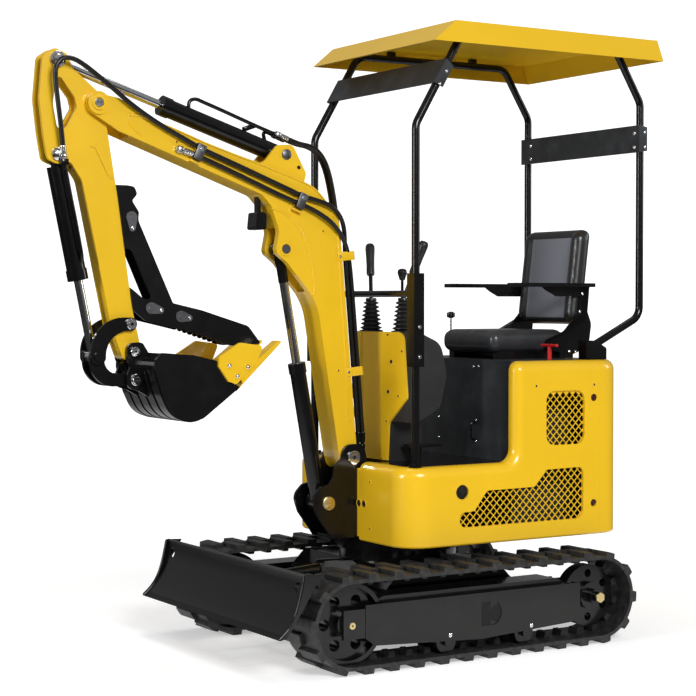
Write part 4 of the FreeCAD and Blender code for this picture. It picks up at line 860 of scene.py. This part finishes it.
def thumb_keepers():
    """Teardrop keepers on the thumb's three pins, with their screws."""
    plates = bmesh.new()
    screws = bmesh.new()
    thickness = 0.004
    head = [(0, 0.0008), (0.0030, 0.0008), (0.0030, 0.0032), (0.0052, 0.0026), (0.0060, 0), (0, 0)]
    pins = (((1.025, 1.433), (1.023, 1.399)), ((0.958, 1.146), (0.925, 1.139)),
            ((0.853, 1.119), (0.824, 1.114)))
    for (pin_x, pin_z), (screw_x, screw_z) in pins:
        for place in both_sides(pin_x, pin_z, 0.035):
            side = 1 if place.translation.y > 0 else -1
            tip = place.inverted() @ Vector((screw_x, side * 0.035, screw_z))
            keeper(plates, place, tip, big=0.0190, small=0.0112, thickness=thickness)
            at = place @ Matrix.Translation(tip + Vector((0, 0, thickness)))
            turned(screws, head, at, steps=18)
    finished("thumb_keepers", plates, "arm", ZINC_GREY, sharp=30)
    finished("thumb_keeper_screws", screws, "arm", ZINC)


def cutter_bolts():
    """Three domed bolts in painted rings on each side cutter."""
    rings = bmesh.new()
    heads = bmesh.new()
    for x, z in ((0.744, 0.963), (0.677, 0.957), (0.715, 0.929)):
        for place in both_sides(x, z, 0.1602):
            ring(rings, place, 0.0074, 0.0118, 0.0022)
            domed_end(heads, place, 0.0072, 0.0052)
    finished("cutter_bolt_rings", rings, "bucket", YELLOW)
    finished("cutter_bolt_heads", heads, "bucket", CHROME)


def sunk_screw(dark, rims, point, axis, radius):
    """A screw sunk in a small raised rim, its head drawn near-black as painted shade."""
    place = facing(point, axis)
    plain_end(dark, place, radius, 0.0012)
    rim = [(radius, -0.001), (radius, 0.0014), (radius * 1.18, 0.0018), (radius * 1.55, 0.0002),
           (radius * 1.55, -0.001)]
    turned(rims, rim, place, steps=20)


def cover_screws():
    """Small screws of the shield and covers, and the two larger shield bolts, their heads near-black
    as painted shade.
    """
    slant = Vector((0.976, 0.218, 0))
    shield = ((0.0970, 0.0898, 1.054, 0.004), (0.0826, 0.155, 0.999, 0.004),
              (0.0865, 0.1374, 0.846, 0.004), (0.0985, 0.0831, 0.759, 0.004),
              (0.1039, 0.0586, 0.630, 0.004), (0.0936, 0.1052, 0.963, 0.0065),
              (0.0966, 0.0914, 0.860, 0.0065))
    dark = bmesh.new()
    rims = bmesh.new()
    for x, y, z, radius in shield:
        for side in (1, -1):
            sunk_screw(dark, rims, (x, side * y, z), (slant.x, side * slant.y, 0), radius)
    for side in (1, -1):
        for z in (0.562, 0.405):
            sunk_screw(dark, rims, (0.208, side * 0.1505, z), (1, 0, 0), 0.004)
        for x, z in ((-0.321, 0.880), (-0.574, 0.879)):
            sunk_screw(dark, rims, (x, side * 0.372, z), (0, side, 0), 0.0042)
    finished("cover_screws", dark, "house", RECESS_SHADE)
    finished("cover_screw_rims", rims, "house", YELLOW)


def boom_screws():
    """Small screws along the boom's cheeks and the plain bores on its back, near-black as painted
    shade.
    """
    dark = bmesh.new()
    rims = bmesh.new()
    for x, z in ((0.3325, 1.403), (0.875, 1.6756), (0.272, 0.934)):
        for side in (1, -1):
            sunk_screw(dark, rims, (x, side * 0.052, z), (0, side, 0), 0.0030)
    # Near-black discs on the plain bores: painted shade.
    for place in both_sides(0.4215, 1.613, 0.0445):
        plain_end(dark, place, 0.0072, 0.0006)
    finished("boom_screws", dark, "boom", RECESS_SHADE)
    finished("boom_screw_rims", rims, "boom", YELLOW)


def weld_bead(name, body, spots, y):
    """A raised painted seam along points given by X and Z, on a plane of constant Y."""
    route = millimetres(*((x, y, z) for x, z in spots))
    pipe(name, route, 0.0032, body, YELLOW)


def seams():
    """The raised seams of the boom's cheek plates and the arm's stiffening plates."""
    top = ((1042, 1752), (1020, 1751), (997, 1749), (960, 1740), (924, 1729), (843, 1702),
           (775, 1677), (706, 1656), (647, 1638), (590, 1623), (494, 1592), (397, 1561),
           (360, 1541), (325, 1507), (296, 1468), (278, 1428), (272, 1385), (269, 1310),
           (262, 1200), (250, 1050), (236, 880), (227, 760))
    nose = ((1042, 1752), (1043, 1733), (1031, 1715), (998, 1689))
    fork = ((530, 1474), (497, 1466), (468, 1453), (442, 1431), (418, 1404), (404, 1376),
            (392, 1348), (384.6, 1315), (377, 1284), (371, 1254), (367, 1223), (366, 1200),
            (372, 1188))
    arm = ((1164, 1650), (1154, 1650), (1146, 1647), (1138, 1634), (1116, 1590), (1098, 1554),
           (1085, 1552.6))
    for side, name in SIDES:
        weld_bead("boom_top_seam_" + name, "boom", top, side * 52)
        weld_bead("boom_nose_seam_" + name, "boom", nose, side * 52)
        weld_bead("boom_fork_seam_" + name, "boom", fork, side * 52)
        weld_bead("arm_seam_" + name, "arm", arm, side * 31)


def cover_details():
    """Latches, the filler's plug and rim, the plugged front holes and the covers' front returns; the
    holes and the filler's well and plug are near-black painted shade.
    """
    latches = bmesh.new()
    dark = bmesh.new()
    rims = bmesh.new()
    returns = bmesh.new()
    for side in (1, -1):
        for z in (0.836, 0.473):
            at = facing((-0.5755, side * 0.3690, z), (0, side, 0))
            plain_end(latches, at, 0.0128, 0.0008)
            slab(latches, (0.004, 0.018, 0.002), at @ shifted(z=0.0014), 0.0006)
        slab(returns, (0.004, 0.0165, 0.232), shifted(0.206, side * 0.0752, 0.487), 0.0015)
        for y in (0.0800, 0.1115):
            at = facing((0.2080, side * y, 0.4845), (1, 0, 0))
            # Near-black discs in the front holes: painted shade.
            plain_end(dark, at, 0.0122, 0.0006)
            ring(rims, at, 0.0121, 0.0140, 0.0016)
    filler = facing((-0.0134, 0.366, 0.5366), (0, 1, 0))
    # The filler's well and plug in near-black painted shade.
    plain_end(dark, filler, 0.0252, 0.0006)
    domed_end(dark, filler, 0.014, 0.007)
    ring(rims, facing((-0.0134, 0.372, 0.5366), (0, 1, 0)), 0.0252, 0.0278, 0.0012)
    finished("cover_latches", latches, "house", LATCH)
    finished("cover_hole_plugs_painted_shade", dark, "house", RECESS_SHADE)
    finished("cover_hole_rims", rims, "house", YELLOW)
    finished("cover_front_returns", returns, "house", YELLOW)


def cab_bolts():
    """Chrome bolts on the grab bar's clamps, and screws on the seat's brackets and box."""
    bm = bmesh.new()
    for side in (1, -1):
        for z in (1.0837, 0.9857):
            bolt(bm, (0.1393, side * 0.3465, z), (0, side, 0), 0.0072)
        for x, z in ((-0.6226, 0.989), (-0.650, 0.988), (-0.682, 1.196), (-0.6694, 1.132)):
            button_screw(bm, (x, side * 0.174, z), (0, side, 0), 0.0062)
    for y, z in ((0.1105, 0.941), (0.1393, 0.942), (0.125, 0.752), (0.125, 0.679),
                 (-0.106, 0.751), (-0.106, 0.678)):
        button_screw(bm, (-0.247, y, z), (1, 0, 0), 0.0050)
    finished("cab_bolts", bm, "house", CHROME)


def track_frame_trim():
    """Bolts, grease nipples and the recesses on the track frames; the recesses and the nipples' bores
    get near-black painted shade.
    """
    bolts = bmesh.new()
    for side in (1, -1):
        for x, z in ((0.106, 0.088), (-0.223, 0.088)):
            domed_end(bolts, facing((x, side * 0.476, z), (0, side, 0)), 0.0070, 0.0035)
    finished("track_frame_bolts", bolts, "undercarriage", CHROME)
    brass = bmesh.new()
    dark = bmesh.new()
    for side in (1, -1):
        out = (0, side, 0)
        nipple = facing((0.4777, side * 0.4743, 0.154), out)
        ring(brass, nipple, 0.0030, 0.0112, 0.0022)
        # Near-black disc in the nipple's bore: painted shade.
        plain_end(dark, nipple, 0.0031, 0.0012)
        # Thin near-black sheet and disc over the frame's recesses: painted shade.
        slab(dark, (0.0405, 0.0775, 0.001), facing((-0.0362, side * 0.4736, 0.1437), out))
        plain_end(dark, facing((-0.0820, side * 0.4731, 0.1420), out), 0.0300, 0.0010)
    finished("idler_nipples", brass, "undercarriage", GOLD)
    finished("track_frame_recess_shade", dark, "undercarriage", RECESS_SHADE)


def sprocket_shafts():
    """The hexagon heads in the middle of the two sprockets."""
    shaft = bmesh.new()
    for side, name in SIDES:
        low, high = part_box("sprocket_" + name)
        middle = (low + high) / 2
        at = facing((middle.x, side * 0.4775, middle.z), (0, side, 0))
        hexagon(shaft, at @ shifted(z=0.003), across=0.034, height=0.008, bevel=0.0015)
        domed_end(shaft, at @ shifted(z=0.0064), 0.0125, 0.0025)
    finished("sprocket_shafts", shaft, "undercarriage", GOLD)


def canopy_bolts():
    """Domed bolts at the ends of the canopy's cross channels; the rear ones stand unevenly."""
    bright = bmesh.new()
    for side, rear_y in ((1, 0.3155), (-1, -0.2835)):
        for x, z in ((0.0325, 1.9273), (0.0586, 1.8834), (-0.8250, 1.7696), (-0.8250, 1.7164)):
            button_screw(bright, (x, side * 0.3438, z), (0, side, 0), 0.0066)
        for z in (1.7655, 1.7165):
            button_screw(bright, (-0.7992, rear_y, z), (1, 0, 0), 0.0075)
    finished("canopy_bolts", bright, "house", CHROME)


def blade_trim():
    """The blade's thick end rims and its rolled top edge, whose grey finish is a painted highlight.
    """
    edge = ((656, 324), (665, 278), (679, 228), (696, 190), (722, 158), (746, 139))
    for side, name in SIDES:
        rim = millimetres(*((x, side * 484, z) for x, z in edge))
        pipe("blade_end_rim_" + name, rim, 0.0060, "blade", BLACK)
    top = millimetres((648, -480, 326), (648, -160, 326), (648, 160, 326), (648, 480, 326))
    # Painted highlight: the grey zinc on the rolled top edge stands in for the reflection along it.
    pipe("blade_top_edge_highlight", top, 0.0042, "blade", ZINC_GREY)


def box_handle():
    """The bent-rod handle on the seat box's front panel."""
    route = millimetres(
        (-249, 125, 746), (-236, 125, 746), (-226, 125, 742), (-224, 125, 728), (-224, 125, 703),
        (-226, 125, 689), (-236, 125, 685), (-249, 125, 685))
    pipe("seat_box_handle", route, 0.0042, "house", BLACK)


# ================================================================ studio
FLOOR_RADIUS = 3.4
LENS = 90.465517
AZIMUTH = 148.35
ELEVATION = 1.5


def stage():
    """A pale floor that fades out into the white background."""
    floor = bmesh.new()
    bmesh.ops.create_circle(floor, cap_ends=True, segments=64, radius=FLOOR_RADIUS)
    mesh = bpy.data.meshes.new("studio_floor")
    floor.to_mesh(mesh)
    floor.free()
    pale = Finish("studio_floor", Base_Color=(0.84, 0.84, 0.84), Roughness=0.9,
                  Specular_IOR_Level=0.0, Emission_Color=(1.0, 1.0, 1.0), Emission_Strength=0.40)
    away = pale.node("ShaderNodeVectorMath", {"operation": "LENGTH"}, {0: pale.place}, output="Value")
    pale.set("Alpha", pale.ramp(away * (1 / FLOOR_RADIUS), (0.42, 1), (0.97, 0)))
    mesh.materials.append(pale.material)
    ground = added("studio_floor", mesh)
    ground.location.z = -0.0005


def softbox(name, place, target, size, watts):
    """A rectangular area lamp aimed at a point."""
    light = bpy.data.lights.new(name, "AREA")
    light.shape = "RECTANGLE"
    light.size, light.size_y = size
    light.energy = watts
    lamp = added(name, light)
    lamp.location = place
    lamp.rotation_euler = (Vector(target) - Vector(place)).to_track_quat("-Z", "Y").to_euler()


def lights():
    """Soft lamps, and a world that is white to the eye, dim above and dark below in reflections."""
    softbox("key", (1.2, 6.4, 3.9), (0.0, 0.2, 0.9), (2.6, 1.8), watts=350)
    softbox("front", (6.4, 0.6, 2.2), (0.3, 0, 0.9), (1.0, 2.2), watts=145)
    softbox("rear", (-5.8, 2.6, 2.8), (-0.3, 0, 0.9), (1.0, 2.6), watts=62)
    softbox("top", (-0.4, -0.6, 5.6), (0, 0, 1.0), (2.2, 2.2), watts=66)
    world = bpy.data.worlds.new("studio")
    sky = Nodes(world)
    seen = sky.node("ShaderNodeLightPath", output="Is Camera Ray")
    direction = sky.node("ShaderNodeTexCoord", output="Generated")
    height = sky.node("ShaderNodeSeparateXYZ", {}, {"Vector": direction}, output="Z")
    limits = {"Value": height, "From Min": -0.15, "From Max": 0.10, "To Min": 0.03, "To Max": 0.24}
    room = sky.node("ShaderNodeMapRange", {}, limits)
    strength = sky.node("ShaderNodeMix", {}, {"Factor": seen, "A": room, "B": 1.25})
    back = sky.tree.nodes["Background"]
    sky.plug(back.inputs["Color"], (1, 1, 1, 1))
    sky.plug(back.inputs["Strength"], strength)
    bpy.context.scene.world = world


def camera():
    """A camera at the object's left front, just above level."""
    data = bpy.data.cameras.new("camera")
    data.sensor_width = 36
    data.lens = LENS
    eye = added("camera", data)
    turn = math.radians(AZIMUTH)
    tilt = math.radians(ELEVATION)
    aim = Vector((-math.sin(turn) * math.cos(tilt), math.cos(turn) * math.cos(tilt), -math.sin(tilt)))
    eye.location = (3.342, 5.094, 1.165)
    eye.rotation_euler = aim.to_track_quat("-Z", "Y").to_euler()
    bpy.context.scene.camera = eye


camera()
hoses()
hose_fittings()
ram_pipes()
hose_clamps()
lights()
stage()
finish_nodes()
seat_cushion()
seat_back()
joysticks()
side_levers()
socketed_pins()
boom_pins()
arm_pins()
lift_ram_foot_pins()
rod_ends()
thumb_keepers()
cutter_bolts()
cover_screws()
boom_screws()
seams()
cover_details()
cab_bolts()
track_frame_trim()
sprocket_shafts()
canopy_bolts()
blade_trim()
box_handle()

bpy.context.scene.view_settings.view_transform = "Standard"
